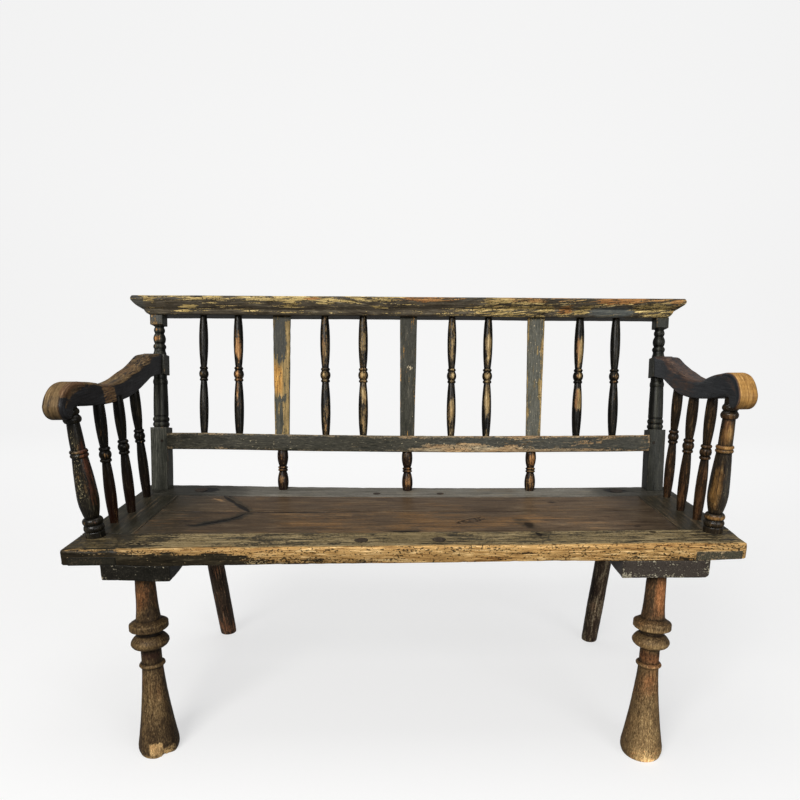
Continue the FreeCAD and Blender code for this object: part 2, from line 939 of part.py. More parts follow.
# short lower spindles between the seat and the mid rail
lowers = []
for i, (x, tilt) in enumerate(low_at):
    name = "lower_spindle_%d" % (i + 1)
    b = body(name)
    rows = LOWER + [("pt", stub_r, LOWER[-1][2]), ("pt", stub_r, LOWER[-1][2] + 12)]
    turn(b, "lower_%d_profile" % (i + 1), rows)
    place_back(b, x, v_spin, ZERO, tilt)
    lowers.append(b)
    nodes[name] = b

# ------------------------------------------------------------------ the arms
# the arm's outline in its own side view, y from the seat centre and z from the
# floor; each arm turns a little about the middle of its rear end
ARM = [
    ("pt", 191, 764.4),
    ("arc", 185, 763.6),
    ("pt", 179, 761.4),
    ("arc", 130, 746),
    ("pt", 80, 736.4),
    ("arc", 45, 730.4),
    ("pt", 8, 728.2),
    ("arc", -25, 730.6),
    ("pt", -52, 736),
    ("arc", -84, 743.8),
    ("pt", -120, 747.2),
    ("arc", -167, 740.5),
    ("pt", -188, 715),
    ("arc", -182, 693),
    ("pt", -165, 686.4),
    ("arc", -156.5, 690.8),
    ("pt", -153.5, 697.5),
    ("pt", -153, 705),
    ("pt", -140, 705),
    ("arc", -62, 693),
    ("pt", 18, 687.6),
    ("arc", 74, 690.6),
    ("pt", 128, 702),
    ("arc", 152, 708),
    ("pt", 174, 714.5),
]
arm_top = cell("arm_back_top", 763)
arm_bot = cell("arm_back_bottom", 714.5)


def post_face(z):
    """Y of the posts' front faces at height z, from the seat centre."""
    return seat_d / 2 - post_d / cos(lean) + (z - seat_h) * tan(lean)


arm_z0 = (arm_top + arm_bot) / 2
arm_y0 = post_face(arm_z0)
arm_items = []
for i, (kind, y, z) in enumerate(ARM):
    qy = cell("arm_y_%02d" % (i + 1), y)
    qz = cell("arm_z_%02d" % (i + 1), z)
    arm_items.append((kind, qy - arm_y0, qz - arm_z0))
arm_items.append(("pt", post_face(arm_bot) - arm_y0, arm_bot - arm_z0))
arm_items.append(("pt", post_face(arm_top) - arm_y0, arm_top - arm_z0))
doc.recompute()
arm_blank = {}
for side, sign in (("left", -1), ("right", 1)):
    b = body("arm_%s_blank" % side)
    sk = sketch(b, "arm_%s_side" % side, "YZ_Plane")
    outline(sk, arm_items)
    pad(b, sk, arm_t, symmetric=True)
    # rear tenon, square to the post's face
    hh, ll = 13.0, 20.0
    corners = []
    for a, u in ((-4, -hh), (ll, -hh), (ll, hh), (-4, hh)):
        corners.append(("pt", a * cos(lean) + u * sin(lean), -(a * sin(lean)) + u * cos(lean)))
    x, yaw, dip = arm_at[side]
    sk = sketch(b, "arm_%s_tenon" % side, "YZ_Plane", on_post(side, 302) - x)
    outline(sk, corners)
    pad(b, sk, 13, symmetric=True)
    place(b, x, seat_y + arm_y0, arm_z0, roll=dip, yaw=yaw)
    arm_blank[side] = b

# arm posts and arm spindles
arm_posts, arm_spins = {}, {"left": [], "right": []}
for side, sign in (("left", -1), ("right", 1)):
    name = "arm_post_%s" % side
    b = body(name)
    rows = (
        [("pt", 10, -20), ("pt", 10, ARMPOST[0][2])]
        + ARMPOST
        + [("pt", 9, ARMPOST[-1][2]), ("pt", 9, ARMPOST[-1][2] + 16)]
    )
    turn(b, "arm_post_%s_profile" % side, rows)
    x, splay = aps_at[side]
    place(b, x, seat_y - aps_y, seat_h, pitch=splay)
    arm_posts[side] = b
    nodes[name] = b
    for i in range(3):
        name = "arm_spindle_%s_%d" % (side, i + 1)
        b = body(name)
        top = asp_l[i] + 5
        rows = (
            [("pt", 7, -14), ("pt", 7, ZERO)]
            + ARMSPIN
            + [("pt", 9.6, top), ("pt", 7, top), ("pt", 7, top + 10)]
        )
        turn(b, "armspin_%s_%d_profile" % (side, i + 1), rows)
        x, splay = asp_at[side][i]
        place(b, x, seat_y + asp_y[i], seat_h, pitch=splay)
        arm_spins[side].append(b)
        nodes[name] = b

# ------------------------------------------------------------------ the legs
legs = {}
for name, (fx, fy, splay, rake) in leg.items():
    front = name.startswith("front")
    left = name.endswith("left")
    under = z_low - (bat_l_t if left else bat_r_t)
    b = body(name + "_turning")
    turn(b, name + "_profile", FRONTLEG if front else REARLEG)
    place(b, fx, seat_y + fy, ZERO, pitch=splay, roll=rake)
    slab = box(name + "_floor_to_batten", fx - 100, seat_y + fy - 160, ZERO, 200, 320, under)
    shaft = doc.addObject("Part::Common", name + "_shaft")
    shaft.Base, shaft.Tool = b, slab
    t = rod(name + "_tenon_stock", front_tenon_r if front else rear_tenon_r, 490)
    place(t, fx, seat_y + fy, ZERO, pitch=splay, roll=rake)
    top = z_low - 0.5 if front else seat_h
    slab = box(name + "_tenon_zone", fx - 100, seat_y + fy - 160, under - 25, 200, 320, top - under + 25)
    tenon = doc.addObject("Part::Common", name + "_tenon")
    tenon.Base, tenon.Tool = t, slab
    whole = doc.addObject("Part::Fuse", name if front else name + "_whole")
    whole.Label = whole.Name
    whole.Base, whole.Tool = shaft, tenon
    extras += [shaft, tenon]
    legs[name] = whole
    if front:
        nodes[name] = whole

# wedges that spread the rear legs' through tenons
wedges = []
for side in ("left", "right"):
    fx, fy, splay, rake = leg["rear_leg_" + side]
    w = doc.addObject("Part::Wedge", "wedge_" + side)
    w.Xmin, w.Xmax, w.X2min, w.X2max = 0, 26, 0, 26
    w.Ymin, w.Ymax = 0, 16
    w.Zmin, w.Zmax, w.Z2min, w.Z2max = 1.1, 1.9, 0.0, 3.0
    # the thin edge is down; the wedge's Y is turned up
    xt = fx + seat_h * tan(splay)
    yt = fy - seat_h * tan(rake) / cos(splay)
    place(w, xt - 13, seat_y + yt + 1.5, seat_h - 16, roll=90)
    extras.append(w)
    wedges.append(w)
nodes["rear_leg_wedges"] = group("rear_leg_wedges", wedges)
for side in ("left", "right"):
    name = "rear_leg_" + side
    c = fit(name, legs[name], [wedges[0 if side == "left" else 1]])
    legs[name] = c
    nodes[name] = c

# ------------------------------------------------------------ pegs and plugs
crest_pegs, mid_pegs, arm_pegs = [], [], []
for sign, nm in ((-1, "left"), (1, "right")):
    p = rod("crest_peg_" + nm, peg_r, post_d / 2 + crest_back + 12)
    x, v, s_ = on_post(nm, crest_0), post_d / 2 + crest_back, crest_0 + 12
    place(
        p,
        x,
        back_y + v * cos(lean) + s_ * sin(lean),
        seat_h - v * sin(lean) + s_ * cos(lean),
        roll=90 - lean,
    )
    crest_pegs.append(p)
    p = rod("mid_peg_" + nm, peg_r, 27)
    x, v, s_ = on_post(nm, 115) - sign * 8, front_v + 27, (mid_0 + mid_1) / 2
    place(
        p,
        x,
        back_y + v * cos(lean) + s_ * sin(lean),
        seat_h - v * sin(lean) + s_ * cos(lean),
        roll=90 - lean,
    )
    mid_pegs.append(p)
    p = rod("arm_peg_" + nm, peg_r, 27)
    v, s_ = front_v + 10, (blk_0 + blk_1) / 2
    x = on_post(nm, 302) - sign * blk_w / 2 + (0 if sign > 0 else -27)
    place(
        p,
        x,
        back_y + v * cos(lean) + s_ * sin(lean),
        seat_h - v * sin(lean) + s_ * cos(lean),
        pitch=Q(90, "90"),
    )
    arm_pegs.append(p)
nodes["crest_pegs"] = group("crest_pegs", crest_pegs)
nodes["mid_rail_pegs"] = group("mid_rail_pegs", mid_pegs)
nodes["arm_tenon_pegs"] = group("arm_tenon_pegs", arm_pegs)

frame_pegs = {}
for nm, x, y in (
    ("fl1", -(x_in + 20), y_front + 30),
    ("fl2", -(x_in + 58), y_front + 26),
    ("fr1", x_in + 20, y_front + 30),
    ("fr2", x_in + 58, y_front + 26),
    ("bl1", -(x_in + 20), y_back - 60),
    ("bl2", -(x_in + 36), y_back - 26),
    ("br1", x_in + 20, y_back - 60),
    ("br2", x_in + 36, y_back - 26),
):
    # driven from below, stopping short of the seat's top
    p = rod("frame_peg_" + nm, seat_peg_r, seat_t - 6)
    place(p, x, y, z_low)
    frame_pegs[nm] = p
nodes["seat_frame_pegs"] = group("seat_frame_pegs", list(frame_pegs.values()))

bat_pegs = {"left": [], "right": []}
for side, xc, t in (
    ("left", -(bat_l_x - bat_l_w / 2), bat_l_t),
    ("right", bat_r_x - bat_r_w / 2, bat_r_t),
):
    for i, (dx, y) in enumerate(((42, -184), (-46, -70), (42, 55), (-46, 105))):
        p = rod("batten_peg_%s_%d" % (side, i + 1), seat_peg_r, t + 22)
        place(p, xc + dx, seat_y + y, z_low - t)
        bat_pegs[side].append(p)
nodes["batten_pegs"] = group("batten_pegs", bat_pegs["left"] + bat_pegs["right"])

plugs = []
for i, (x, y, r) in enumerate(
    ((-90, -170, plug_r), (61, -170, plug_r), (-79, 156, plug_small_r), (75, 156, plug_small_r))
):
    p = rod("seat_plug_%d" % (i + 1), r, plug_t)
    place(p, x, seat_y + y, seat_h - plug_t)
    plugs.append(p)
nodes["seat_plugs"] = group("seat_plugs", plugs)

# --------------------------------------------------- fitting piece into piece
for side in ("left", "right"):
    post = fit(
        "back_post_" + side,
        post_blank[side],
        [arm_blank[side], mid_blank, crest_pegs[0 if side == "left" else 1]]
        + [mid_pegs[0 if side == "left" else 1], arm_pegs[0 if side == "left" else 1]],
    )
    nodes["back_post_" + side] = post
    nodes["arm_" + side] = fit(
        "arm_" + side,
        arm_blank[side],
        [arm_posts[side]] + arm_spins[side] + [arm_pegs[0 if side == "left" else 1]],
    )
nodes["mid_rail"] = fit("mid_rail", mid_blank, spindles + splats + lowers + mid_pegs)
nodes["crest_rail"] = fit(
    "crest_rail",
    crest_blank,
    spindles + splats + [post_blank["left"], post_blank["right"]] + crest_pegs,
)
nodes["seat_board_front"] = fit(
    "seat_board_front",
    board_blank["front"],
    [spline, bat_pegs["right"][1]],
)
nodes["seat_board_rear"] = fit(
    "seat_board_rear",
    board_blank["rear"],
    [spline, bat_pegs["right"][2], bat_pegs["right"][3], bat_pegs["left"][2]],
)
for side in ("left", "right"):
    nodes["seat_end_rail_" + side] = fit(
        "seat_end_rail_" + side,
        end_blank[side],
        [board_blank["front"], board_blank["rear"], arm_posts[side], post_blank[side]]
        + arm_spins[side]
        + [frame_pegs[k] for k in frame_pegs if k[1] == side[0]]
        + ([bat_pegs[side][1], bat_pegs[side][3]] if side == "left" else []),
    )
    nodes["batten_" + side] = fit(
        "batten_" + side,
        batten_blank[side],
        [legs["front_leg_" + side], legs["rear_leg_" + side]] + bat_pegs[side],
    )
nodes["seat_front_rail"] = fit(
    "seat_front_rail",
    seat_front_blank,
    [end_blank["left"], end_blank["right"], board_blank["front"]]
    + [arm_posts["left"], arm_posts["right"]]
    + [frame_pegs[k] for k in frame_pegs if k[0] == "f"]
    + [bat_pegs["left"][0], bat_pegs["right"][0]]
    + plugs[:2],
)
nodes["seat_back_rail"] = fit(
    "seat_back_rail",
    seat_back_blank,
    [end_blank["left"], end_blank["right"], board_blank["rear"]]
    + [post_blank["left"], post_blank["right"]]
    + lowers
    + [legs["rear_leg_left"], legs["rear_leg_right"]]
    + wedges
    + [frame_pegs[k] for k in frame_pegs if k[0] == "b"]
    + plugs[2:],
)

# -------------------------------------------------------- check, then write
doc.recompute()
bad = [o.Name for o in doc.Objects if "Invalid" in o.State or "Error" in o.State]
if bad:
    raise RuntimeError("failed objects: %s" % bad)
expected = {
    "rear_leg_wedges": 2,
    "crest_pegs": 2,
    "mid_rail_pegs": 2,
    "arm_tenon_pegs": 2,
    "seat_frame_pegs": 8,
    "batten_pegs": 8,
    "seat_plugs": 4,
}
for name, obj in nodes.items():
    s = obj.Shape
    if s.isNull() or not s.isValid():
        raise RuntimeError("%s has no valid shape" % name)
    if len(s.Solids) != expected.get(name, 1):
        raise RuntimeError("%s has %d solids" % (name, len(s.Solids)))
    obj.Label = name

whole = None
for obj in nodes.values():
    bb = obj.Shape.optimalBoundingBox()
    if whole is None:
        whole = FreeCAD.BoundBox(bb)
    else:
        whole.add(bb)
print("bounding box", whole)

os.makedirs("parts", exist_ok=True)
for name, obj in sorted(nodes.items()):
    obj.Shape.exportStep("parts/%s.step" % name)
print(len(nodes), "nodes written")
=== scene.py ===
import math

import bmesh
import bpy
import numpy as np
from mathutils import Matrix


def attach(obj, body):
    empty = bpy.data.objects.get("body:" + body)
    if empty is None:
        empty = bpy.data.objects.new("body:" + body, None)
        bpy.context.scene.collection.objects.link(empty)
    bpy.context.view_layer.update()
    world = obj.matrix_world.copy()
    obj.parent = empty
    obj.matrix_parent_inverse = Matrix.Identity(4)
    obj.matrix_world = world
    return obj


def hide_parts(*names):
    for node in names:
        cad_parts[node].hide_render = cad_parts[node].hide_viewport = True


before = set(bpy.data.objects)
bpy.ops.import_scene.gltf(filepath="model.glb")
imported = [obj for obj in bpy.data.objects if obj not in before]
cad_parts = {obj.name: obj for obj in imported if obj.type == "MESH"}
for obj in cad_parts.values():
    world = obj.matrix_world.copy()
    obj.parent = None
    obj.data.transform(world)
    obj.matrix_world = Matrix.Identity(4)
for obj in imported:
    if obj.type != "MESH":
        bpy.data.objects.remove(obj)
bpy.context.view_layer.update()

# All sizes below are millimetres in the row frame; meshes are written in metres.
MM = 0.001
SEAT_Y = -35.45
SEAT_W, SEAT_D, SEAT_H, SEAT_T = 1290.0, 419.0, 440.0, 31.0
Y_FRONT, Y_BACK = SEAT_Y - SEAT_D / 2, SEAT_Y + SEAT_D / 2
Z_LOW = SEAT_H - SEAT_T
LEAN = 13.17
CL, SL = math.cos(math.radians(LEAN)), math.sin(math.radians(LEAN))
POST_W, POST_D = 40.0, 38.0
FRONT_V = -POST_D / 2
BACK_Y = Y_BACK - POST_D / 2 / CL
SPIN_V = 17.0 - POST_D / 2
CREST_0, CREST_H = 421.5, 39.2
MID_0, MID_1 = 94.0, 134.0
SPAN = CREST_0 - MID_1
POST_AT = {"left": (-609.6, -0.85), "right": (605.0, 2.0)}


# ------------------------------------------------------------------- helpers
def value_noise(p, seed=0):
    """Smooth noise from -1 to 1 at the points p, an n by 3 array."""
    p = np.asarray(p, float)
    i = np.floor(p).astype(np.int64)
    f = p - i
    f = f * f * f * (f * (f * 6 - 15) + 10)

    def corner(dx, dy, dz):
        h = (
            (i[:, 0] + dx) * 73856093
            ^ (i[:, 1] + dy) * 19349663
            ^ (i[:, 2] + dz) * 83492791
            ^ (seed * 2654435761 + 12345)
        )
        h = (h ^ (h >> 13)) * 1274126177
        h = h & 0x7FFFFFFF
        h = (h ^ (h >> 15)) & 0xFFFF
        return h / 32767.5 - 1.0

    fx, fy, fz = f[:, 0], f[:, 1], f[:, 2]
    x00 = corner(0, 0, 0) * (1 - fx) + corner(1, 0, 0) * fx
    x10 = corner(0, 1, 0) * (1 - fx) + corner(1, 1, 0) * fx
    x01 = corner(0, 0, 1) * (1 - fx) + corner(1, 0, 1) * fx
    x11 = corner(0, 1, 1) * (1 - fx) + corner(1, 1, 1) * fx
    return (x00 * (1 - fy) + x10 * fy) * (1 - fz) + (x01 * (1 - fy) + x11 * fy) * fz


def fractal(p, seed=0, octaves=3):
    total, amp, norm = 0.0, 1.0, 0.0
    p = np.asarray(p, float)
    for k in range(octaves):
        total = total + amp * value_noise(p * 2.0**k, seed + 17 * k)
        norm += amp
        amp *= 0.5
    return total / norm


def smooth(x, lo, hi):
    t = np.clip((np.asarray(x, float) - lo) / (hi - lo), 0, 1)
    return t * t * (3 - 2 * t)


def bump(x, centre, width):
    """1 at centre, falling smoothly to 0 at width away."""
    t = np.clip(1 - np.abs(np.asarray(x, float) - centre) / width, 0, 1)
    return t * t * (3 - 2 * t)


def spots(a, b, rows, rough=0.0):
    """Soft-edged spots in a piece's own place: rows of (a, b, reach along a, reach
    along b, amounts, slope); returns one sum for each amount."""
    out = np.zeros((len(rows[0][4]), len(a)))
    for ca, cb, ra, rb, amounts, *slope in rows:
        k = slope[0] if slope else 0.0
        d = np.hypot((a - ca) / ra, (b - cb - k * (a - ca)) / rb)
        out += np.array(amounts)[:, None] * smooth(1.0 - d + rough, -0.12, 0.22)
    return out


def turn(pitch=0.0, roll=0.0, yaw=0.0):
    p, r, y = (math.radians(a) for a in (pitch, roll, yaw))
    rx = np.array([[1, 0, 0], [0, math.cos(r), -math.sin(r)], [0, math.sin(r), math.cos(r)]])
    ry = np.array([[math.cos(p), 0, math.sin(p)], [0, 1, 0], [-math.sin(p), 0, math.cos(p)]])
    rz = np.array([[math.cos(y), -math.sin(y), 0], [math.sin(y), math.cos(y), 0], [0, 0, 1]])
    return rz @ ry @ rx


def placed(x, y, z, pitch=0.0, roll=0.0, yaw=0.0):
    """Local points to the row frame, as the CAD places its pieces."""
    r, t = turn(pitch, roll, yaw), np.array([x, y, z])
    return lambda p: p @ r.T + t


def on_back(x, v, s, pitch=0.0):
    return placed(
        x, BACK_Y + v * CL + s * SL, SEAT_H - v * SL + s * CL, pitch=pitch, roll=-LEAN
    )


def settle(p):
    """The old seat has wound a little: its front right corner stands high and its
    front left corner low. The feet and the back's plane stay where they are."""
    q = np.array(p, float)
    side = np.clip(q[:, 0] / 645.0, -1.1, 1.1)
    ahead = np.clip((Y_BACK - q[:, 1]) / SEAT_D, 0, 1.15)
    z = q[:, 2].copy()
    up = smooth(z, 250, 380)
    q[:, 2] += 8.6 * side * ahead * up
    # the back of the seat and the rail above it sag; their left ends stand high
    sag = np.minimum(7.0 * (side - 0.1) ** 2 - 3.2, 2.0)
    q[:, 2] += sag * (1 - np.minimum(ahead, 1)) * up * (1 - smooth(z, 560, 840))
    # the underside is uneven
    at = [-645, -600, -560, -520, -480, -440, -350, -230, 0, 100, 170, 300, 400, 450, 560, 610, 645]
    drop = [0.2, 0.0, 0.0, 1.5, 3.6, 3.8, 3.0, 2.0, 2.0, 1.8, 0.9, 1.0, 2.2, 2.4, 3.2, 1.0, 0.0]
    front = smooth(ahead, 0.3, 0.95)
    q[:, 2] -= np.interp(q[:, 0], at, drop) * front * smooth(z, 300, 372) * (1 - smooth(z, 411, 433))
    return q


def spread(p):
    """The seat's ends, a little longer at the front left than at the right."""
    q = np.array(p, float)
    ahead = np.clip((Y_BACK - q[:, 1]) / SEAT_D, 0, 1)
    q[:, 0] -= (3.0 + 4.5 * ahead) * smooth(-q[:, 0], 560, 645)
    q[:, 0] += (1.0 + 2.2 * ahead) * smooth(q[:, 0], 560, 645)
    return q


PIECES = {}


def W(n, wear=0.0, dirt=0.0, tone=0.3, lift=0.0, fleck=0.0, tint=0.0):
    """The wear table of n points: worn, grime and painted shade, wood tone, lightness (tone, and painted light and
    shade), flecks, tint.
    """
    return np.stack([np.broadcast_to(np.asarray(a, float), (n,)) for a in
                     (wear, dirt, tone, lift, fleck, tint)], 1)  # fmt: skip


def make(name, verts, faces, grain, wear, material, nodes, seed, sharp=38.0, crack=None):
    """One named piece. grain: each point's place in the wood, metres, third along
    the grain. wear: worn, grime and painted shade, and tone for each point."""
    verts = settle(spread(verts) if name.startswith("seat_") else verts) * MM
    mesh = bpy.data.meshes.new(name)
    mesh.from_pydata(verts.tolist(), [], [tuple(int(i) for i in f) for f in faces])
    rng = np.random.default_rng(seed)
    g = np.asarray(grain, float) * MM + rng.uniform(-4, 4, 3)
    a = mesh.attributes.new("gc", "FLOAT_VECTOR", "POINT")
    a.data.foreach_set("vector", g.astype(np.float32).ravel())
    w = np.zeros((len(verts), 6), np.float32)
    w[:, : np.shape(wear)[1]] = wear
    for key, cols in (("wm", w[:, :3]), ("pm", w[:, 3:])):
        a = mesh.attributes.new(key, "FLOAT_VECTOR", "POINT")
        a.data.foreach_set("vector", np.ascontiguousarray(cols).ravel())
    if crack is None:
        crack = np.zeros((len(verts), 3))
    a = mesh.attributes.new("crk", "FLOAT_VECTOR", "POINT")
    a.data.foreach_set("vector", np.asarray(crack, np.float32).ravel())
    bm = bmesh.new()
    bm.from_mesh(mesh)
    bmesh.ops.remove_doubles(bm, verts=bm.verts, dist=2e-5)
    bmesh.ops.dissolve_degenerate(bm, edges=bm.edges, dist=1e-6)
    bmesh.ops.recalc_face_normals(bm, faces=bm.faces)
    bm.to_mesh(mesh)
    bm.free()
    mesh.shade_smooth()
    mesh.set_sharp_from_angle(angle=math.radians(sharp))
    obj = bpy.data.objects.new(name, mesh)
    bpy.context.scene.collection.objects.link(obj)
    mesh.materials.append(material)
    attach(obj, "root")
    if nodes:
        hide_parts(*nodes)
    PIECES[name] = obj
    return obj


def arc_points(a, m, b, step):
    """Points on the arc from a through m to b, without a."""
    (ax, ay), (mx, my), (bx, by) = a, m, b
    d = 2 * (ax * (my - by) + mx * (by - ay) + bx * (ay - my))
    if abs(d) < 1e-9:
        return [m, b]
    ux = ((ax**2 + ay**2) * (my - by) + (mx**2 + my**2) * (by - ay) + (bx**2 + by**2) * (ay - my)) / d
    uy = ((ax**2 + ay**2) * (bx - mx) + (mx**2 + my**2) * (ax - bx) + (bx**2 + by**2) * (mx - ax)) / d
    r = math.hypot(ax - ux, ay - uy)
    t0, tm, t1 = (math.atan2(q[1] - uy, q[0] - ux) for q in (a, m, b))
    span = (t1 - t0) % (2 * math.pi)
    if (tm - t0) % (2 * math.pi) > span:
        span -= 2 * math.pi
    n = max(4, int(abs(span) * r / step))
    return [
        (ux + r * math.cos(t0 + span * k / n), uy + r * math.sin(t0 + span * k / n))
        for k in range(1, n + 1)
    ]


def dense(rows, step=1.6):
    """The corners and arcs of an outline as closely spaced points."""
    pts, i = [tuple(rows[0])], 1
    while i < len(rows):
        if rows[i][0] == "arc":
            pts += arc_points(pts[-1], rows[i][1:], rows[i + 1], step)
            i += 2
        else:
            a, b = pts[-1], rows[i]
            n = max(1, int(math.dist(a, b) / step))
            pts += [
                (a[0] + (b[0] - a[0]) * k / n, a[1] + (b[1] - a[1]) * k / n)
                for k in range(1, n + 1)
            ]
            i += 1
    return np.array(pts, float)


def blurred(values, at, sigma):
    """values smoothed along the positions at."""
    w = np.exp(-0.5 * ((at[:, None] - at[None, :]) / sigma) ** 2)
    gap = np.gradient(at)
    w = w * np.maximum(gap, 1e-3)[None, :]
    return (w @ values) / w.sum(1)


def lathe(rows, segments=48, step=1.6, seed=0, rough=1.0):
    """A turned shape about Z: points, faces, grain places, wear, and grime with painted shade in the hollows."""
    prof = dense(rows, step)  # z, r
    z, r = prof[:, 0], np.maximum(prof[:, 1], 0.05)
    along = np.concatenate([[0], np.cumsum(np.hypot(np.diff(z), np.diff(r)))])
    soft = blurred(r, along, 3.4)
    worn = np.clip((r - soft) / 0.9, 0, 1)
    # hollows below the blurred profile: grime and painted shade
    grime_shade_amount = np.clip((soft - r) / 0.9, 0, 1)
    n, m = len(z), segments
    ang = np.linspace(0, 2 * math.pi, m, endpoint=False)
    zz = np.repeat(z, m)
    rr = np.repeat(r, m)
    aa = np.tile(ang, n)
    w, d = np.repeat(worn, m), np.repeat(grime_shade_amount, m)
    base = np.stack([rr * np.cos(aa), rr * np.sin(aa), zz], 1)
    # slightly out of round, tool marks, and chips on the proud edges
    rr = rr + rough * 0.22 * value_noise(base / [26, 26, 60], seed)
    rr = rr + rough * 0.10 * value_noise(base / [7, 7, 9], seed + 3)
    chip = np.clip(value_noise(base / [4.5, 4.5, 4.5], seed + 5) - 0.25, 0, 1)
    rr = rr - rough * 0.9 * chip * w
    verts = np.stack([rr * np.cos(aa), rr * np.sin(aa), zz], 1)
    faces = []
    for i in range(n - 1):
        a = i * m
        for j in range(m):
            k = (j + 1) % m
            faces.append((a + j, a + k, a + m + k, a + m + j))
    verts = np.vstack([verts, [[0, 0, z[0]], [0, 0, z[-1]]]])
    base = np.vstack([base, [[0, 0, z[0]], [0, 0, z[-1]]]])
    w, d = np.append(w, [0, 0]), np.append(d, [0, 0])
    last = (n - 1) * m
    for j in range(m):
        k = (j + 1) % m
        faces.append((n * m, k, j))
        faces.append((n * m + 1, last + j, last + k))
    return verts, faces, base, w, d


def rounded(w, h, radii, step, arc=5):
    """A rectangle w by h about its middle, with its own radius at each corner
    (-,-), (+,-), (+,+), (-,+): points, outward directions and distance from the
    nearest corner along the outline."""
    corners = [(-1, -1), (1, -1), (1, 1), (-1, 1)]
    pts, out, near = [], [], []
    start = [math.pi, 1.5 * math.pi, 0.0, 0.5 * math.pi]
    for c in range(4):
        sx, sy = corners[c]
        r = radii[c]
        cx, cy = sx * (w / 2 - r), sy * (h / 2 - r)
        for k in range(arc + 1):
            t = start[c] + 0.5 * math.pi * k / arc
            pts.append((cx + r * math.cos(t), cy + r * math.sin(t)))
            out.append((math.cos(t), math.sin(t)))
            near.append(abs(k - arc / 2) / arc * r)
        nx, ny = corners[(c + 1) % 4]
        rn = radii[(c + 1) % 4]
        a = pts[-1]
        tn = start[(c + 1) % 4]
        b = (nx * (w / 2 - rn) + rn * math.cos(tn), ny * (h / 2 - rn) + rn * math.sin(tn))
        length = math.dist(a, b)
        count = max(2, int(length / step))
        for k in range(1, count):
            f = k / count
            pts.append((a[0] + (b[0] - a[0]) * f, a[1] + (b[1] - a[1]) * f))
            out.append(out[-1] if k > 1 else (math.cos(tn), math.sin(tn)))
            near.append(min(f * length + r / 2, (1 - f) * length + rn / 2))
    return np.array(pts), np.array(out), np.array(near)


def prism(section, normals, near, length, step, end_r=1.5, squeeze=None):
    """A section swept along its third axis from 0 to length, ends rounded over and
    closed. Returns points, faces and, for each point, its distance from the nearest
    arris. squeeze(L) scales the section's two sides along the length."""
    m = len(section)
    ls, ins = [], []
    for k in range(4):
        t = 0.5 * math.pi * k / 4
        ls.append(end_r * (1 - math.sin(t)))
        ins.append(end_r * (1 - math.cos(t)))
    # outermost first
    ls = [end_r * (1 - math.sin(0.5 * math.pi * k / 4)) for k in range(4, -1, -1)][:-1]
    ins = [end_r * (1 - math.cos(0.5 * math.pi * k / 4)) for k in range(4, -1, -1)][:-1]
    head = list(zip(ls, ins))
    mid_n = max(1, int((length - 2 * end_r) / step))
    mid = [(end_r + (length - 2 * end_r) * k / mid_n, 0.0) for k in range(mid_n + 1)]
    tail = [(length - a, b) for a, b in reversed(head)]
    stations = head + mid + tail
    verts, edge = [], []
    w2, h2 = np.abs(section[:, 0]).max(), np.abs(section[:, 1]).max()
    slim = min(w2, h2)
    core = section.copy()
    core[:, 0] = np.clip(section[:, 0], -(w2 - slim), w2 - slim)
    core[:, 1] = np.clip(section[:, 1], -(h2 - slim), h2 - slim)
    rings = []
    first = section - normals * head[0][1]
    for f in (0.0, 0.25, 0.5, 0.75):
        rings.append((core * (1 - f) + first * f, stations[0][0], f))
    for pts, at, f in rings:
        verts.append(np.column_stack([pts, np.full(m, at)]))
        edge.append(np.full(m, (1 - f) * slim))
    for at, inset in stations:
        verts.append(np.column_stack([section - normals * inset, np.full(m, at)]))
        edge.append(np.minimum(near, min(at, length - at) + 0.0))
    for pts, at, f in reversed(rings):
        verts.append(np.column_stack([pts, np.full(m, length - at)]))
        edge.append(np.full(m, (1 - f) * slim))
    verts, edge = np.vstack(verts), np.concatenate(edge)
    if squeeze is not None:
        sx, sy = squeeze(verts[:, 2])
        verts[:, 0] *= sx
        verts[:, 1] *= sy
    n = len(verts) // m
    faces = []
    for i in range(n - 1):
        a = i * m
        for j in range(m):
            k = (j + 1) % m
            faces.append((a + j, a + k, a + m + k, a + m + j))
    return verts, faces, edge


def join(parts):
    """Several (points, faces, others...) as one."""
    out = [np.vstack([p[0] for p in parts])]
    faces, n = [], 0
    for p in parts:
        faces += [tuple(i + n for i in f) for f in p[1]]
        n += len(p[0])
    out.append(faces)
    for k in range(2, len(parts[0])):
        out.append(np.concatenate([p[k] for p in parts]))
    return out


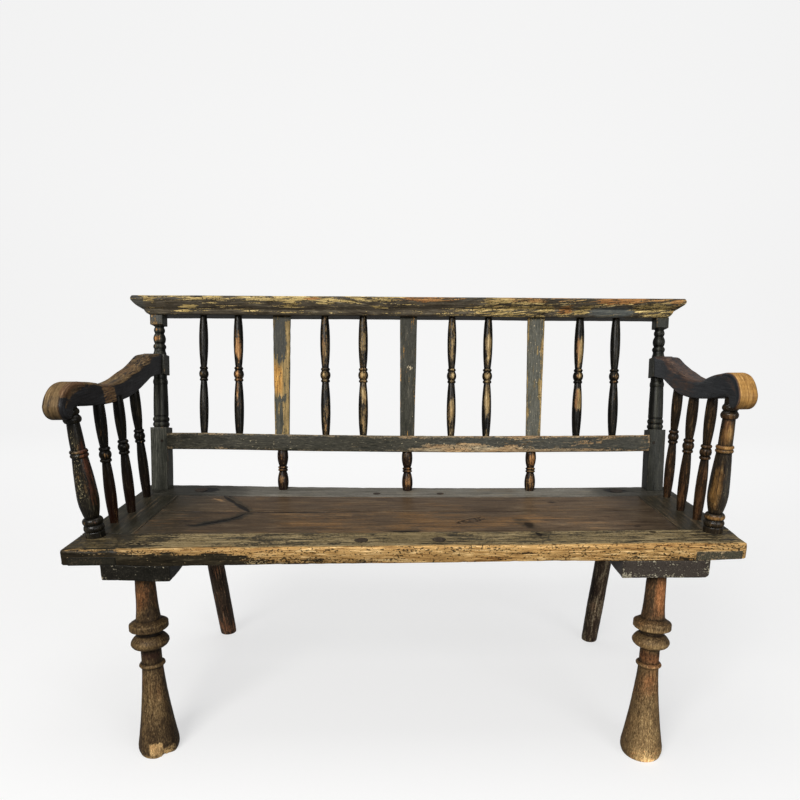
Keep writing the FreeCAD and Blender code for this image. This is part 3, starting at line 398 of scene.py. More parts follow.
# ----------------------------------------------------------------- materials
class Graph:
    """A material's nodes, in a few short calls."""

    def __init__(self, name):
        self.mat = bpy.data.materials.new(name)
        self.mat.use_nodes = True
        self.tree = self.mat.node_tree
        self.tree.nodes.clear()

    def node(self, kind, props=None, **inputs):
        n = self.tree.nodes.new(kind)
        for k, v in (props or {}).items():
            setattr(n, k, v)
        for k, v in inputs.items():
            key = int(k[1:]) if k[0] == "i" and k[1:].isdigit() else k.replace("_", " ")
            self.put(n.inputs[key], v)
        return n

    def put(self, socket, v):
        if isinstance(v, bpy.types.NodeSocket):
            self.tree.links.new(v, socket)
        else:
            socket.default_value = v

    def attr(self, name):
        return self.node("ShaderNodeAttribute", {"attribute_name": name})

    def split(self, vec):
        n = self.node("ShaderNodeSeparateXYZ", i0=vec)
        return n.outputs[0], n.outputs[1], n.outputs[2]

    def math(self, op, a, b=0.0, c=0.0, clamp=False):
        n = self.node("ShaderNodeMath", {"operation": op, "use_clamp": clamp})
        self.put(n.inputs[0], a)
        self.put(n.inputs[1], b)
        if len(n.inputs) > 2:
            self.put(n.inputs[2], c)
        return n.outputs[0]

    def add(self, *terms):
        out = terms[0]
        for t in terms[1:]:
            out = self.math("ADD", out, t)
        return out

    def mul(self, a, b):
        return self.math("MULTIPLY", a, b)

    def unit(self, x):
        """Noise as a number of deviations from its middle."""
        return self.math("MULTIPLY_ADD", x, 8.0, -4.0)

    def scale(self, vec, k):
        n = self.node("ShaderNodeVectorMath", {"operation": "SCALE"})
        self.put(n.inputs[0], vec)
        self.put(n.inputs["Scale"], k)
        return n.outputs[0]

    def around(self, x, amount):
        """(x - 0.5) * amount"""
        return self.math("MULTIPLY_ADD", x, amount, -0.5 * amount)

    def step(self, x, lo, hi, a=0.0, b=1.0):
        n = self.node("ShaderNodeMapRange", {"interpolation_type": "SMOOTHSTEP", "clamp": True})
        for i, v in enumerate((x, lo, hi, a, b)):
            self.put(n.inputs[i], v)
        return n.outputs[0]

    def scaled(self, vec, xyz):
        n = self.node("ShaderNodeVectorMath", {"operation": "MULTIPLY"})
        self.put(n.inputs[0], vec)
        n.inputs[1].default_value = xyz
        return n.outputs[0]

    def noise(self, vec, scale, detail=3.0, rough=0.55, distort=0.0):
        n = self.node("ShaderNodeTexNoise", {"noise_dimensions": "3D"})
        self.put(n.inputs["Vector"], vec)
        n.inputs["Scale"].default_value = scale
        n.inputs["Detail"].default_value = detail
        n.inputs["Roughness"].default_value = rough
        n.inputs["Distortion"].default_value = distort
        return n.outputs[0]

    def mix(self, fac, a, b, blend="MIX"):
        n = self.node("ShaderNodeMix", {"data_type": "RGBA", "blend_type": blend, "clamp_factor": True})
        self.put(n.inputs[0], fac)
        for i, v in ((6, a), (7, b)):
            self.put(n.inputs[i], v if isinstance(v, bpy.types.NodeSocket) else rgb(v))
        return n.outputs[2]

    def finish(self, color, rough, height, coat=0.0, bump_depth=0.0006, spec=0.4, strength=0.8):
        b = self.node("ShaderNodeBump")
        b.inputs["Strength"].default_value = strength
        b.inputs["Distance"].default_value = bump_depth
        self.put(b.inputs["Height"], height)
        p = self.node("ShaderNodeBsdfPrincipled")
        self.put(p.inputs["Base Color"], color)
        self.put(p.inputs["Roughness"], rough)
        self.put(p.inputs["Normal"], b.outputs[0])
        p.inputs["Specular IOR Level"].default_value = spec
        p.inputs["Coat Weight"].default_value = coat
        p.inputs["Coat Roughness"].default_value = 0.35
        o = self.node("ShaderNodeOutputMaterial")
        self.tree.links.new(p.outputs[0], o.inputs[0])
        return self.mat


def rgb(c):
    """An sRGB colour, 0 to 255, as linear RGBA."""
    if len(c) == 4:
        return c
    out = []
    for v in c:
        v = v / 255.0
        out.append(v / 12.92 if v <= 0.04045 else ((v + 0.055) / 1.055) ** 2.4)
    return (*out, 1.0)


def worn_paint(
    name,
    paint,  # dark, middle, light
    wood,  # dark, middle, light bare wood
    warm,  # dark, middle, light bare wood of the warmer tone
    thin,  # what shows where the paint is nearly gone
    tinted=(80, 70, 58),  # a second paint colour, where the piece is tinted
    dust=(110, 104, 88),
    flecks=(164, 142, 104),
    weights=(0.45, 0.55, 0.6, 0.3),  # blobs, patches, streaks, specks
    spread=0.25,
    long=0.06,
    size=1.0,
    scratch=0.5,
    pores=0.5,
    gloss=0.36,
    bump=0.0008,
    spec=0.12,
    soft=0.03,
    grit=0.3,
    dot=300,
):
    """Old paint over wood, worn through where a piece's wear is high: half the paint
    is gone where wear is 0.5."""
    g = Graph(name)
    place = g.attr("gc").outputs["Vector"]
    wear, dirt, tone = g.split(g.attr("wm").outputs["Vector"])
    lift, fleck, tint = g.split(g.attr("pm").outputs["Vector"])
    crack_d, crack_w, knot = g.split(g.attr("crk").outputs["Vector"])
    fibre = g.scaled(place, (1, 1, long))
    lazy = g.scaled(place, (1, 1, 0.3))
    loose = g.scaled(place, (1, 1, 0.6))
    blob = g.unit(g.noise(place, 13 * size, 2))
    patch = g.unit(g.noise(lazy, 72 * size, 3, 0.62, 0.5))
    streak = g.unit(g.noise(fibre, 270 * size, 3, 0.6, 0.3))
    hair = g.unit(g.noise(fibre, 700, 2, 0.6))
    speck = g.unit(g.noise(loose, 330 * size, 2, 0.6))
    amount = wear
    for w, n in zip(weights, (blob, patch, streak, speck)):
        amount = g.math("MULTIPLY_ADD", n, w * spread, amount)
    bare = g.step(amount, 0.5 - soft, 0.5 + soft)
    faint = g.mul(g.step(amount, 0.24, 0.49), 1.0 if soft < 0.05 else 0.35)

    # bare wood
    ring = g.unit(g.noise(g.scaled(place, (1, 1, 0.02)), 150, 3, 0.55, 0.8))
    t = g.add(g.mul(streak, 0.45), g.mul(hair, 0.5), g.mul(ring, 0.45))
    low, high = g.step(t, -1.5, 0.1), g.step(t, 0.1, 1.6)
    cool_wood = g.mix(high, g.mix(low, wood[0], wood[1]), wood[2])
    warm_wood = g.mix(high, g.mix(low, warm[0], warm[1]), warm[2])
    which = g.step(g.math("MULTIPLY_ADD", blob, 0.12, tone), 0.2, 0.8)
    wood_color = g.mix(which, cool_wood, warm_wood)
    holes = g.math("MULTIPLY_ADD", fleck, 1.3, g.math("MULTIPLY_ADD", patch, 0.4, speck))
    pore = g.mul(g.step(holes, 1.15, 1.75), pores)
    wood_color = g.mix(pore, wood_color, paint[0])

    # paint in three close tones, with dusty hairlines and pale flecks
    mottle = g.unit(g.noise(lazy, 47 * size, 4, 0.65, 0.3))
    lines = g.unit(g.noise(fibre, 430, 2, 0.6))
    t = g.add(g.mul(mottle, 0.6), g.mul(lines, 0.5), g.mul(streak, 0.25))
    low, high = g.step(t, -1.6, 0.0), g.step(t, 0.2, 1.9)
    coat = g.mix(tint, paint[1], tinted)
    deep = g.mix(g.mul(tint, 0.6), paint[0], tinted)
    paint_color = g.mix(high, g.mix(low, deep, coat), paint[2])
    line = g.mul(g.step(hair, 1.2, 1.9), scratch)
    paint_color = g.mix(line, paint_color, dust)
    dot = g.unit(g.noise(g.scaled(place, (1, 1, 0.6)), dot, 2, 0.6))
    limit = g.math("MULTIPLY_ADD", fleck, -2.4, 2.7)
    dots = g.step(g.math("SUBTRACT", dot, limit), 0.0, 0.35)
    paint_color = g.mix(dots, paint_color, flecks)

    color = g.mix(g.mul(faint, 0.8), paint_color, thin)
    color = g.mix(bare, color, wood_color)
    # grime, and painted shade in grooves, hollows and along the crest's top edge, darken the colour towards near black
    color = g.mix(g.mul(dirt, 0.85), color, (12, 10, 8))
    # cracks and knots, drawn from distances kept on the mesh
    wander = g.around(g.noise(place, 200, 3), 0.004)
    off = g.math("ABSOLUTE", g.math("ADD", crack_d, wander))
    split = g.math("SUBTRACT", 1.0, g.step(off, g.mul(crack_w, 0.5), g.mul(crack_w, 1.3)))
    split = g.mul(split, g.step(crack_w, 0.00005, 0.0003))
    color = g.mix(g.mul(split, 0.92), color, (14, 10, 8))
    eye = g.step(g.math("MULTIPLY_ADD", patch, 0.12, knot), 0.2, 0.55)
    color = g.mix(g.mul(eye, 0.85), color, (26, 18, 12))
    grain = g.add(g.mul(hair, 0.6), g.mul(speck, 0.4), g.mul(lines, 0.3))
    # lift scales the colour by a power of two: the piece's tone, and painted light and shade where a piece sets it
    color = g.scale(color, g.math("POWER", 2.0, g.math("MULTIPLY_ADD", grain, grit, lift)))

    rough = g.step(bare, 0.0, 1.0, gloss, gloss + 0.18)
    rough = g.math("MULTIPLY_ADD", hair, 0.03, rough)
    rough = g.math("MULTIPLY_ADD", patch, 0.03, rough, clamp=True)
    height = g.add(
        g.mul(bare, -0.30),
        g.mul(hair, 0.05),
        g.mul(streak, 0.07),
        g.mul(speck, 0.03),
        g.mul(dots, -0.15),
        g.mul(split, -1.8),
        g.mul(eye, -0.3),
    )
    return g.finish(color, rough, height, bump_depth=bump, spec=spec)


YELLOW = [(98, 81, 46), (168, 145, 92), (210, 187, 130)]
OCHRE = [(92, 60, 32), (146, 102, 58), (184, 140, 88)]
BROWN = [(54, 38, 26), (92, 68, 46), (130, 102, 72)]
RUST = [(58, 33, 20), (110, 68, 38), (156, 106, 64)]
TAN = [(84, 64, 38), (146, 114, 72), (198, 168, 122)]

M = {}
M["crest"] = worn_paint(
    "crest_worn_paint",
    [(38, 32, 24), (67, 61, 51), (106, 99, 83)],
    YELLOW, OCHRE, (78, 66, 44),
    tinted=(66, 69, 67), dust=(124, 112, 86), flecks=(160, 140, 96),
    weights=(0.2, 0.45, 1.1, 0.6), spread=0.32, long=0.06, size=1.0, scratch=0.5, pores=1.0,
    soft=0.05, grit=0.45,
)  # fmt: skip
M["frame"] = worn_paint(
    "charcoal_paint",
    [(26, 27, 22), (56, 56, 49), (86, 84, 74)],
    TAN, OCHRE, (64, 58, 44),
    tinted=(104, 100, 88), dust=(104, 101, 88), flecks=(156, 144, 112),
    weights=(0.3, 0.5, 0.6, 0.45), long=0.05, scratch=0.5, soft=0.06, grit=0.45, spec=0.16,
)  # fmt: skip
M["splat"] = worn_paint(
    "splat_paint",
    [(42, 43, 34), (66, 65, 56), (92, 89, 78)],
    [(104, 92, 58), (146, 124, 82), (182, 152, 100)],
    [(142, 92, 42), (188, 138, 68), (216, 172, 104)],
    (84, 80, 58),
    tinted=(110, 110, 101), dust=(134, 126, 106), flecks=(196, 180, 148),
    weights=(0.35, 0.5, 0.9, 0.5), long=0.06, scratch=0.6, soft=0.06, grit=0.45, pores=0.8,
    dot=240,
)  # fmt: skip
M["mid"] = worn_paint(
    "rail_paint",
    [(36, 38, 30), (62, 60, 50), (90, 86, 72)],
    [(98, 88, 70), (138, 124, 100), (174, 158, 128)],
    [(104, 82, 56), (150, 122, 88), (184, 158, 120)],
    (80, 74, 60),
    tinted=(82, 82, 78), dust=(134, 126, 106), flecks=(190, 176, 144),
    weights=(0.35, 0.6, 0.5, 0.8), long=0.12, scratch=0.6, soft=0.05, grit=0.45, pores=0.9,
    dot=230,
)  # fmt: skip
M["spindle"] = worn_paint(
    "spindle_paint",
    [(7, 6, 5), (24, 22, 17), (66, 58, 44)],
    [(86, 70, 42), (144, 120, 78), (194, 172, 130)],
    [(88, 56, 30), (150, 106, 62), (196, 156, 108)], (62, 48, 30),
    tinted=(52, 28, 18), dust=(100, 92, 72), flecks=(176, 156, 116),
    weights=(0.35, 0.35, 0.5, 0.4), long=0.05, size=1.2, scratch=0.5, gloss=0.28,
    soft=0.20, grit=0.42, spec=0.16,
)  # fmt: skip
M["spindle_r"] = worn_paint(
    "spindle_paint_right",
    [(14, 11, 8), (42, 33, 23), (84, 68, 46)],
    [(76, 52, 28), (122, 90, 52), (166, 132, 86)],
    [(58, 35, 20), (96, 62, 36), (142, 102, 64)], (60, 44, 28),
    tinted=(54, 34, 22), dust=(96, 84, 60), flecks=(160, 134, 92),
    weights=(0.3, 0.3, 0.35, 0.3), long=0.06, size=1.2, scratch=0.4, gloss=0.28,
    soft=0.32, grit=0.34, spec=0.18,
)  # fmt: skip
M["arm"] = worn_paint(
    "arm_paint",
    [(18, 18, 20), (37, 36, 37), (56, 57, 60)],
    [(82, 63, 40), (120, 97, 66), (152, 129, 94)],
    [(58, 38, 26), (98, 72, 50), (136, 108, 80)],
    (62, 44, 30),
    dust=(74, 72, 70), flecks=(120, 100, 72),
    weights=(0.25, 0.3, 0.5, 0.2), long=0.06, scratch=0.25, gloss=0.34, pores=0.12,
    soft=0.2, grit=0.28,
)  # fmt: skip
M["arm_r"] = worn_paint(
    "arm_paint_right",
    [(26, 28, 30), (44, 46, 49), (66, 68, 70)],
    [(136, 94, 46), (174, 130, 70), (202, 160, 98)],
    [(58, 42, 36), (92, 70, 58), (126, 100, 82)],
    (66, 50, 40),
    dust=(84, 80, 76), flecks=(130, 104, 74),
    weights=(0.2, 0.25, 0.3, 0.12), long=0.05, scratch=0.3, gloss=0.32, pores=0.08,
    soft=0.32, grit=0.22, spec=0.18,
)  # fmt: skip
M["arm_post"] = worn_paint(
    "arm_post_paint",
    [(9, 8, 6), (31, 28, 22), (76, 70, 54)],
    [(86, 62, 34), (140, 108, 64), (184, 152, 104)],
    [(38, 19, 12), (76, 42, 26), (122, 76, 48)], (52, 36, 24),
    tinted=(68, 68, 66), dust=(104, 96, 74), flecks=(150, 138, 104),
    weights=(0.4, 0.35, 0.4, 0.3), long=0.06, size=1.15, scratch=0.5, gloss=0.26,
    soft=0.24, grit=0.36, spec=0.24, dot=500,
)  # fmt: skip
M["arm_post_r"] = worn_paint(
    "arm_post_paint_right",
    [(14, 11, 8), (46, 38, 28), (96, 82, 60)],
    [(92, 64, 32), (150, 110, 58), (206, 168, 110)],
    [(62, 38, 22), (106, 70, 42), (156, 114, 74)], (66, 48, 30),
    tinted=(66, 64, 60), dust=(112, 104, 80), flecks=(190, 168, 122),
    weights=(0.4, 0.3, 0.3, 0.25), long=0.06, size=1.0, scratch=0.6, gloss=0.25,
    soft=0.3, grit=0.32, spec=0.26, dot=380,
)  # fmt: skip
M["seat"] = worn_paint(
    "seat_worn_wood",
    [(54, 40, 28), (85, 69, 52), (112, 96, 75)],
    [(80, 66, 48), (110, 94, 71), (142, 126, 99)],
    [(90, 65, 41), (112, 85, 56), (136, 108, 74)],
    (92, 76, 58),
    tinted=(55, 53, 43), dust=(120, 108, 88), flecks=(142, 124, 94),
    weights=(0.5, 0.35, 0.8, 0.3), long=0.03, size=0.8, scratch=0.45, gloss=0.36,
    soft=0.22, grit=0.4, spec=0.16,
)  # fmt: skip
M["seat_back"] = worn_paint(
    "seat_back_wood",
    [(72, 69, 60), (106, 102, 93), (134, 130, 120)],
    [(90, 82, 68), (122, 114, 98), (150, 142, 126)],
    [(84, 66, 48), (120, 98, 74), (156, 132, 104)],
    (84, 74, 60),
    tinted=(72, 70, 60), dust=(124, 118, 104), flecks=(152, 142, 120),
    weights=(0.5, 0.35, 0.8, 0.3), long=0.03, size=0.8, scratch=0.45, gloss=0.36,
    soft=0.22, grit=0.4, spec=0.18,
)  # fmt: skip
M["seat_edge"] = worn_paint(
    "seat_front_wood",
    [(22, 19, 13), (46, 40, 29), (82, 74, 56)],
    [(84, 70, 46), (126, 110, 78), (158, 142, 108)],
    [(112, 73, 33), (180, 141, 86), (230, 198, 142)],
    (72, 54, 32),
    tinted=(86, 82, 68), dust=(108, 98, 74), flecks=(180, 158, 116),
    weights=(0.35, 0.5, 0.7, 0.5), long=0.06, size=0.95, scratch=0.5, gloss=0.36, pores=0.9,
    soft=0.06, grit=0.45, dot=380,
)  # fmt: skip
M["batten"] = worn_paint(
    "batten_paint",
    [(20, 19, 14), (34, 32, 27), (56, 53, 46)],
    [(112, 106, 90), (158, 150, 128), (200, 192, 168)],
    [(104, 90, 68), (148, 130, 100), (190, 172, 138)], (52, 46, 38),
    tinted=(70, 63, 57), dust=(116, 110, 98), flecks=(176, 170, 150),
    weights=(0.2, 0.5, 0.5, 0.9), long=0.3, scratch=0.4, soft=0.05, grit=0.4, dot=420, pores=0.0,
)  # fmt: skip
M["front_leg"] = worn_paint(
    "front_leg_wood",
    [(38, 28, 19), (63, 49, 34), (92, 75, 52)],
    [(96, 74, 45), (135, 109, 72), (172, 146, 102)],
    [(88, 54, 31), (142, 93, 56), (180, 131, 86)],
    (84, 64, 44),
    tinted=(52, 32, 26), dust=(116, 100, 74), flecks=(196, 174, 126),
    weights=(0.4, 0.3, 0.35, 0.4), spread=0.2, long=0.25, size=1.2, scratch=0.3, gloss=0.42,
    pores=0.7, soft=0.4, grit=0.42, dot=480,
)  # fmt: skip
M["rear_leg"] = worn_paint(
    "rear_leg_wood",
    [(28, 20, 14), (58, 46, 36), (90, 76, 62)],
    [(84, 74, 58), (124, 110, 88), (164, 150, 122)],
    [(72, 44, 30), (118, 80, 56), (158, 120, 88)], (70, 56, 42),
    dust=(96, 84, 68), weights=(0.5, 0.4, 0.8, 0.4), long=0.06, soft=0.22, grit=0.5,
)  # fmt: skip
M["peg"] = worn_paint(
    "peg_wood",
    [(24, 19, 14), (46, 38, 30), (70, 60, 48)],
    BROWN, BROWN, (56, 44, 32),
)  # fmt: skip
M["raw"] = worn_paint(
    "hidden_wood",
    [(100, 74, 46), (130, 100, 66), (156, 126, 88)],
    BROWN, BROWN, (120, 92, 60),
)  # fmt: skip


# ---------------------------------------------------------------- turned work
SPINDLE = [
    (-5, 8.0), (0, 8.2), ("arc", 76, 11.2), (128.6, 7.9), (129.4, 9.4), ("arc", 132.3, 10.6), (135.2, 9.4),
    (136, 8.4), ("arc", 146.5, 11.9), (157, 8.4), (157.8, 9.4), ("arc", 160.7, 10.6),
    (163.6, 9.4), (164.4, 7.9), ("arc", 214, 11.2), (SPAN, 8.2),
]  # fmt: skip
LOWER = [
    (-13, 9.5), (0, 10.8), ("arc", 21, 13.2), (43.3, 9.0), (44.2, 10.4), ("arc", 46.8, 12),
    (49.3, 10.4), (49.8, 9.6), (50.3, 10.4), ("arc", 52.9, 12), (55.5, 10.4), (56.3, 9.0),
    ("arc", 78, 13.2), (97, 11.2),
]  # fmt: skip
ARMSPIN = [
    (-6, 8.1), (0, 8.2), ("arc", 70, 11.1), (129.5, 7.9), (130.6, 10), ("arc", 133.4, 11.2),
    (136.2, 10), (137.2, 8.9), ("arc", 145.5, 12), (153.8, 8.9), (154.8, 10), ("arc", 157.6, 11.2),
    (160.4, 10), (161.5, 7.9), ("arc", 208, 11.2),
]  # fmt: skip
ARMPOST = [
    (-6, 18.4), (10.5, 18.3), (11.8, 16.9), ("arc", 18.2, 19.4), (24.3, 16.7), (25.3, 16.6),
    ("arc", 31.5, 19.2), (37.8, 16.4), (39, 13), ("arc", 58, 17.5), (82, 19.5),
    ("arc", 112, 18.2), (160, 14.3), (160.8, 15), ("arc", 164.2, 16.8), (167.6, 15),
    (168.2, 14.8), ("arc", 171.8, 16.8), (175.2, 15), (176, 13.3), ("arc", 202, 12.9),
    (226.8, 11.8), (227.8, 13.9), ("arc", 234, 16.4), (240.6, 13.6), (242.6, 12.4),
    ("arc", 248.6, 15.2), (254.4, 12.4), (257.5, 12.1), (270, 12.5),
]  # fmt: skip
FRONTLEG = [
    (-7, 34.5), (1.5, 37.0), (5, 38.3), (10, 39.1), (18, 39.0), ("arc", 78, 29.6), (170, 20.1),
    (178, 19.8), (178.8, 21.8), ("arc", 182.5, 24.8), (186.3, 21.8), (187.1, 19.3), (212, 19.1),
    (216.5, 19.5), (218, 23.8), ("arc", 221, 31.4), (226, 35.2), ("arc", 229.5, 36.2),
    (233, 35.2), ("arc", 240.5, 29.8), (245.5, 22.6), (251.0, 21.9), (252.6, 28.8),
    (256.6, 35.4), ("arc", 257.4, 36.2), (258.8, 36.6), (267.8, 36.6), ("arc", 269.2, 36.2),
    (270.2, 35.2), (277.5, 23.4), ("arc", 298, 21.2), (330, 19.7), (384, 17.9),
]  # fmt: skip
REARLEG = [
    (-8, 19.2), (2, 19.9), (6, 20.4), (30, 20.6), ("arc", 190, 21), (340, 19.6), (392, 17.9),
]  # fmt: skip


def turned(name, rows, xf, material, nodes, seed, segments=44, step=1.6, thick=1.0,
           worn=None, rough=1.0, flat=None, broken=None):
    """One turned piece. worn(points, angle, wear, grime and painted shade) gives wear and tone."""
    v, f, g, w, d = lathe(rows, segments, step, seed, rough)
    v = v * [thick, thick, 1]
    ang = np.arctan2(g[:, 1], g[:, 0])
    if broken is not None:
        v = v * broken(g, ang)[:, None] ** [1, 1, 0]
    table = dict(wear=0.3 * w, dirt=d, tone=0.5)
    table.update(worn(g, ang, w, d) if worn else {})
    p = xf(v)
    if flat is not None:
        p = flat(p)
    return make(name, p, f, g, W(len(w), **table), material, nodes, seed, sharp=50)


def facing(ang, to=-0.5 * math.pi, width=1.6):
    """1 on the side of a turned piece that faces the angle to."""
    d = np.abs((ang - to + math.pi) % (2 * math.pi) - math.pi)
    return smooth(-d, -width, 0)


# each tall spindle: place, lean, thickness, wear, tone and its worn patches as
# (height above the mid rail, reach, strength, side)
SPIN = [
    (-505.8, -0.14, 0.94, 0.10, 0.3, [(146, 16, 0.15, -1.6)]),
    (-419.5, -0.44, 1.02, 0.16, 0.85, [(209, 58, 0.62, -1.35), (146, 16, 0.30, -1.6), (94, 42, 0.22, -1.5)]),
    (-206.6, -0.52, 1.05, 0.34, 0.4, [(215, 50, 0.10, -1.4), (146, 16, 0.25, -1.6), (60, 60, 0.08, -1.6)]),
    (-114.4, -0.16, 1.04, 0.32, 0.2, [(225, 50, 0.15, -1.7), (146, 16, 0.22, -1.5), (101, 30, 0.35, -1.5)]),
    (102.3, 0.38, 0.99, 0.28, 0.2, [(215, 58, 0.30, -1.5), (146, 14, 0.22, -1.5), (62, 60, 0.25, -1.6)]),
    (189.1, 0.92, 1.03, 0.28, 0.15, [(209, 56, 0.50, -1.5), (146, 16, 0.30, -1.5), (84, 50, 0.50, -1.5)]),
    (412.8, 1.57, 1.05, 0.10, 0.45, [(202, 62, 0.90, -1.6), (146, 16, 0.40, -1.5), (88, 42, 1.1, -1.5)]),
    (502.6, 1.47, 1.05, 0.12, 0.6, [(146, 12, 0.2, -1.2), (225, 40, 0.20, -1.0), (70, 60, 0.12, -1.0)]),
]  # fmt: skip
for i, (x, lean_x, fat, base, tone0, marks) in enumerate(SPIN):

    def worn(g, ang, w, d, base=base, tone0=tone0, marks=marks, i=i):
        middle = facing(ang, -1.55, 1.5)
        n = fractal(g / [5, 5, 30], 70 + i)
        wear = base * (0.2 + 0.9 * middle) + 0.20 * w * middle
        for at, reach, strength, side in marks:
            wear = wear + strength * bump(g[:, 2], at, reach) * facing(ang, side, 1.25)
        wear = wear + 0.14 * n * middle
        shade = 1.7 * (1 - facing(ang, -1.55, 1.75)) + 0.05
        tone = tone0 + 0.3 * n
        if i == 6:  # orange at its left, yellow at its right
            tone = tone + 0.8 * facing(ang, -2.2, 0.8) - 0.3
        glint = bump(g[:, 2], 146, 8) * facing(ang, -1.7, 0.6)
        # lift: painted shade on the sides, a painted highlight (glint) on the ball, and the front painted lighter
        return dict(wear=wear, tone=tone, dirt=0.8 * d, fleck=0.25 + 0.45 * (i == 4) * bump(g[:, 2], 12, 20),
                    lift=-shade + 0.5 * glint + 0.45 * middle * (wear > 0.3) + (0.15 + 0.4 * (i == 7)) * middle)

    turned(
        "spindle_%d" % (i + 1),
        SPINDLE,
        on_back(x, SPIN_V, MID_1, pitch=lean_x),
        M["spindle"],
        ["back_spindle_%d" % (i + 1)],
        100 + i,
        thick=fat,
        worn=worn,
    )

for i, (x, lean_x) in enumerate(((-311.8, -0.8), (-5, -0.6), (298.5, 1.8))):

    def worn(g, ang, w, d, i=i):
        middle = facing(ang, -1.55, 1.5)
        wear = (0.12, 0.16, 0.26)[i] * (0.4 + 0.6 * middle) + 0.25 * w
        wear = wear + 0.28 * bump(g[:, 2], 22, 24) * facing(ang, -1.7, 1.2)
        wear = wear + (0.1, 0.12, 0.35)[i] * bump(g[:, 2], 76, 24) * facing(ang, -1.4, 1.2)
        tone = 0.55 + 0.4 * fractal(g / [9, 9, 25], 90 + i)
        # lift: the front painted lighter and the sides painted in shade
        return dict(wear=wear, tone=tone, tint=0.3, dirt=0.9 * d,
                    lift=0.25 * middle - 0.8 * (1 - facing(ang, -1.55, 1.8)))

    turned(
        "lower_turning_%d" % (i + 1),
        LOWER,
        on_back(x, SPIN_V, 0, pitch=lean_x),
        M["spindle"],
        ["lower_spindle_%d" % (i + 1)],
        120 + i,
        worn=worn,
        step=1.2,
    )

ARM_TOP = [252.5, 247.5, 258.5]
ASP = {
    "left": [(-616.8, -0.75), (-609.1, -0.5), (-618.9, -0.9)],
    "right": [(610.7, 0.7), (602.8, 0.5), (614, 0.1)],
}
ASP_Y = [-57.5, 9, 117]
for side in ("left", "right"):
    for i in range(3):
        x, splay = ASP[side][i]

        def worn(g, ang, w, d, side=side, i=i):
            z = g[:, 2]
            low = smooth(-z, -150, -20)
            n = fractal(g / [8, 8, 40], 130 + i + (5 if side == "right" else 0))
            if side == "left":
                lit = facing(ang, -1.1, 1.1)
                wear = 0.04 + 0.15 * w + (0.42, 0.16, 0.1)[i] * bump(z, 146, 13) * lit
                wear = wear + (0.24, 0.16, 0.06)[i] * bump(z, 215, 45) * facing(ang, -0.9, 0.9)
                wear = wear + (0.24, 0.10, 0.05)[i] * low * facing(ang, -0.6, 0.9)
                return dict(wear=wear + 0.1 * n, tone=(0.6, 0.3, 0.5)[i], tint=(0.9, 0.5, 0.2)[i] * low,
                            dirt=0.9 * d, fleck=0.25 + 0.3 * low * (i == 1), lift=0.25 * lit - 0.45)
            lit = facing(ang, -2.0, 1.3)
            wear = (0.20, 0.14, 0.12)[i] + 0.18 * w
            wear = wear + (0.34, 0.32, 0.22)[i] * low * facing(ang, -2.1, 1.1)
            wear = wear + (0.26, 0.14, 0.16)[i] * bump(z, 210, 50) * facing(ang, -1.8, 1.1)
            return dict(wear=wear + 0.14 * n, tone=0.45 + 0.4 * low, tint=0.3 * low,
                        dirt=0.9 * d, fleck=0.25, lift=0.5 * lit - 0.45)

        turned(
            "arm_turning_%s_%d" % (side, i + 1),
            ARMSPIN + [(ARM_TOP[i] + 8, 9.6)],
            placed(x, SEAT_Y + ASP_Y[i], SEAT_H, pitch=splay),
            M["spindle"] if side == "left" else M["spindle_r"],
            ["arm_spindle_%s_%d" % (side, i + 1)],
            140 + i + (10 if side == "right" else 0),
            worn=worn,
        )

APS = {"left": (-618.0, -3.9), "right": (608.8, 1.0)}
for side in ("left", "right"):
    x, splay = APS[side]

    def worn(g, ang, w, d, side=side):
        z = g[:, 2]
        n = fractal(g / [12, 12, 45], 160 if side == "left" else 161)
        if side == "left":
            fine = fractal(g / [3, 3, 7], 162)
            wear = 0.02 + 0.30 * w + 0.26 * bump(z, 205, 55) * facing(ang, -1.5, 1.3)
            wear = wear + (0.22 + 0.35 * fine) * bump(z, 128, 50) * facing(ang, -1.8, 0.9)
            wear = wear + 0.60 * facing(ang, -0.5, 1.0) * smooth(z, 45, 80) * (1 - smooth(z, 150, 225))
            tone = 0.05 + 1.1 * facing(ang, -0.4, 1.1)
            fleck = (0.66 + 0.5 * n) * facing(ang, -1.8, 1.9) * smooth(z, 45, 85) * (1 - smooth(z, 235, 250))
            # lift: painted shade on the sides
            return dict(wear=wear + 0.10 * n, tone=tone, dirt=d, fleck=fleck,
                        lift=0.1 - 0.6 * (1 - facing(ang, -1.5, 1.9)) - 0.3 * bump(z, 55, 30))
        gold = facing(ang, -2.35, 1.0)
        wear = 0.10 + 0.22 * w + 0.75 * bump(z, 206, 48) * facing(ang, -1.9, 1.6) + 0.45 * bump(z, 170, 11)
        wear = wear + 0.85 * gold * bump(z, 96, 72) - 0.15 * bump(z, 4, 14) + 0.4 * bump(z, 31, 7)
        tone = 0.35 + 0.25 * bump(z, 95, 70) * facing(ang, -1.7, 0.6) + 0.5 * bump(z, 225, 30)
        # lift: painted shade on the sides
        return dict(wear=wear + 0.12 * n, tone=tone + 0.3 * n, dirt=d,
                    fleck=0.25 + 0.35 * bump(z, 100, 70) * facing(ang, -1.2, 0.8),
                    tint=0.9 * facing(ang, -1.0, 0.9) * bump(z, 100, 75),
                    lift=0.10 * gold + 0.45 * bump(z, 170, 11) + 0.35 * bump(z, 31, 8)
                    - 0.4 * bump(z, 110, 50) * gold - 0.9 * (1 - facing(ang, -1.6, 1.9)))

    turned(
        "arm_support_" + side,
        ARMPOST,
        placed(x, SEAT_Y - 136, SEAT_H, pitch=splay),
        M["arm_post"] if side == "left" else M["arm_post_r"],
        ["arm_post_" + side],
        160 if side == "left" else 161,
        segments=60,
        step=1.2,
        worn=worn,
    )

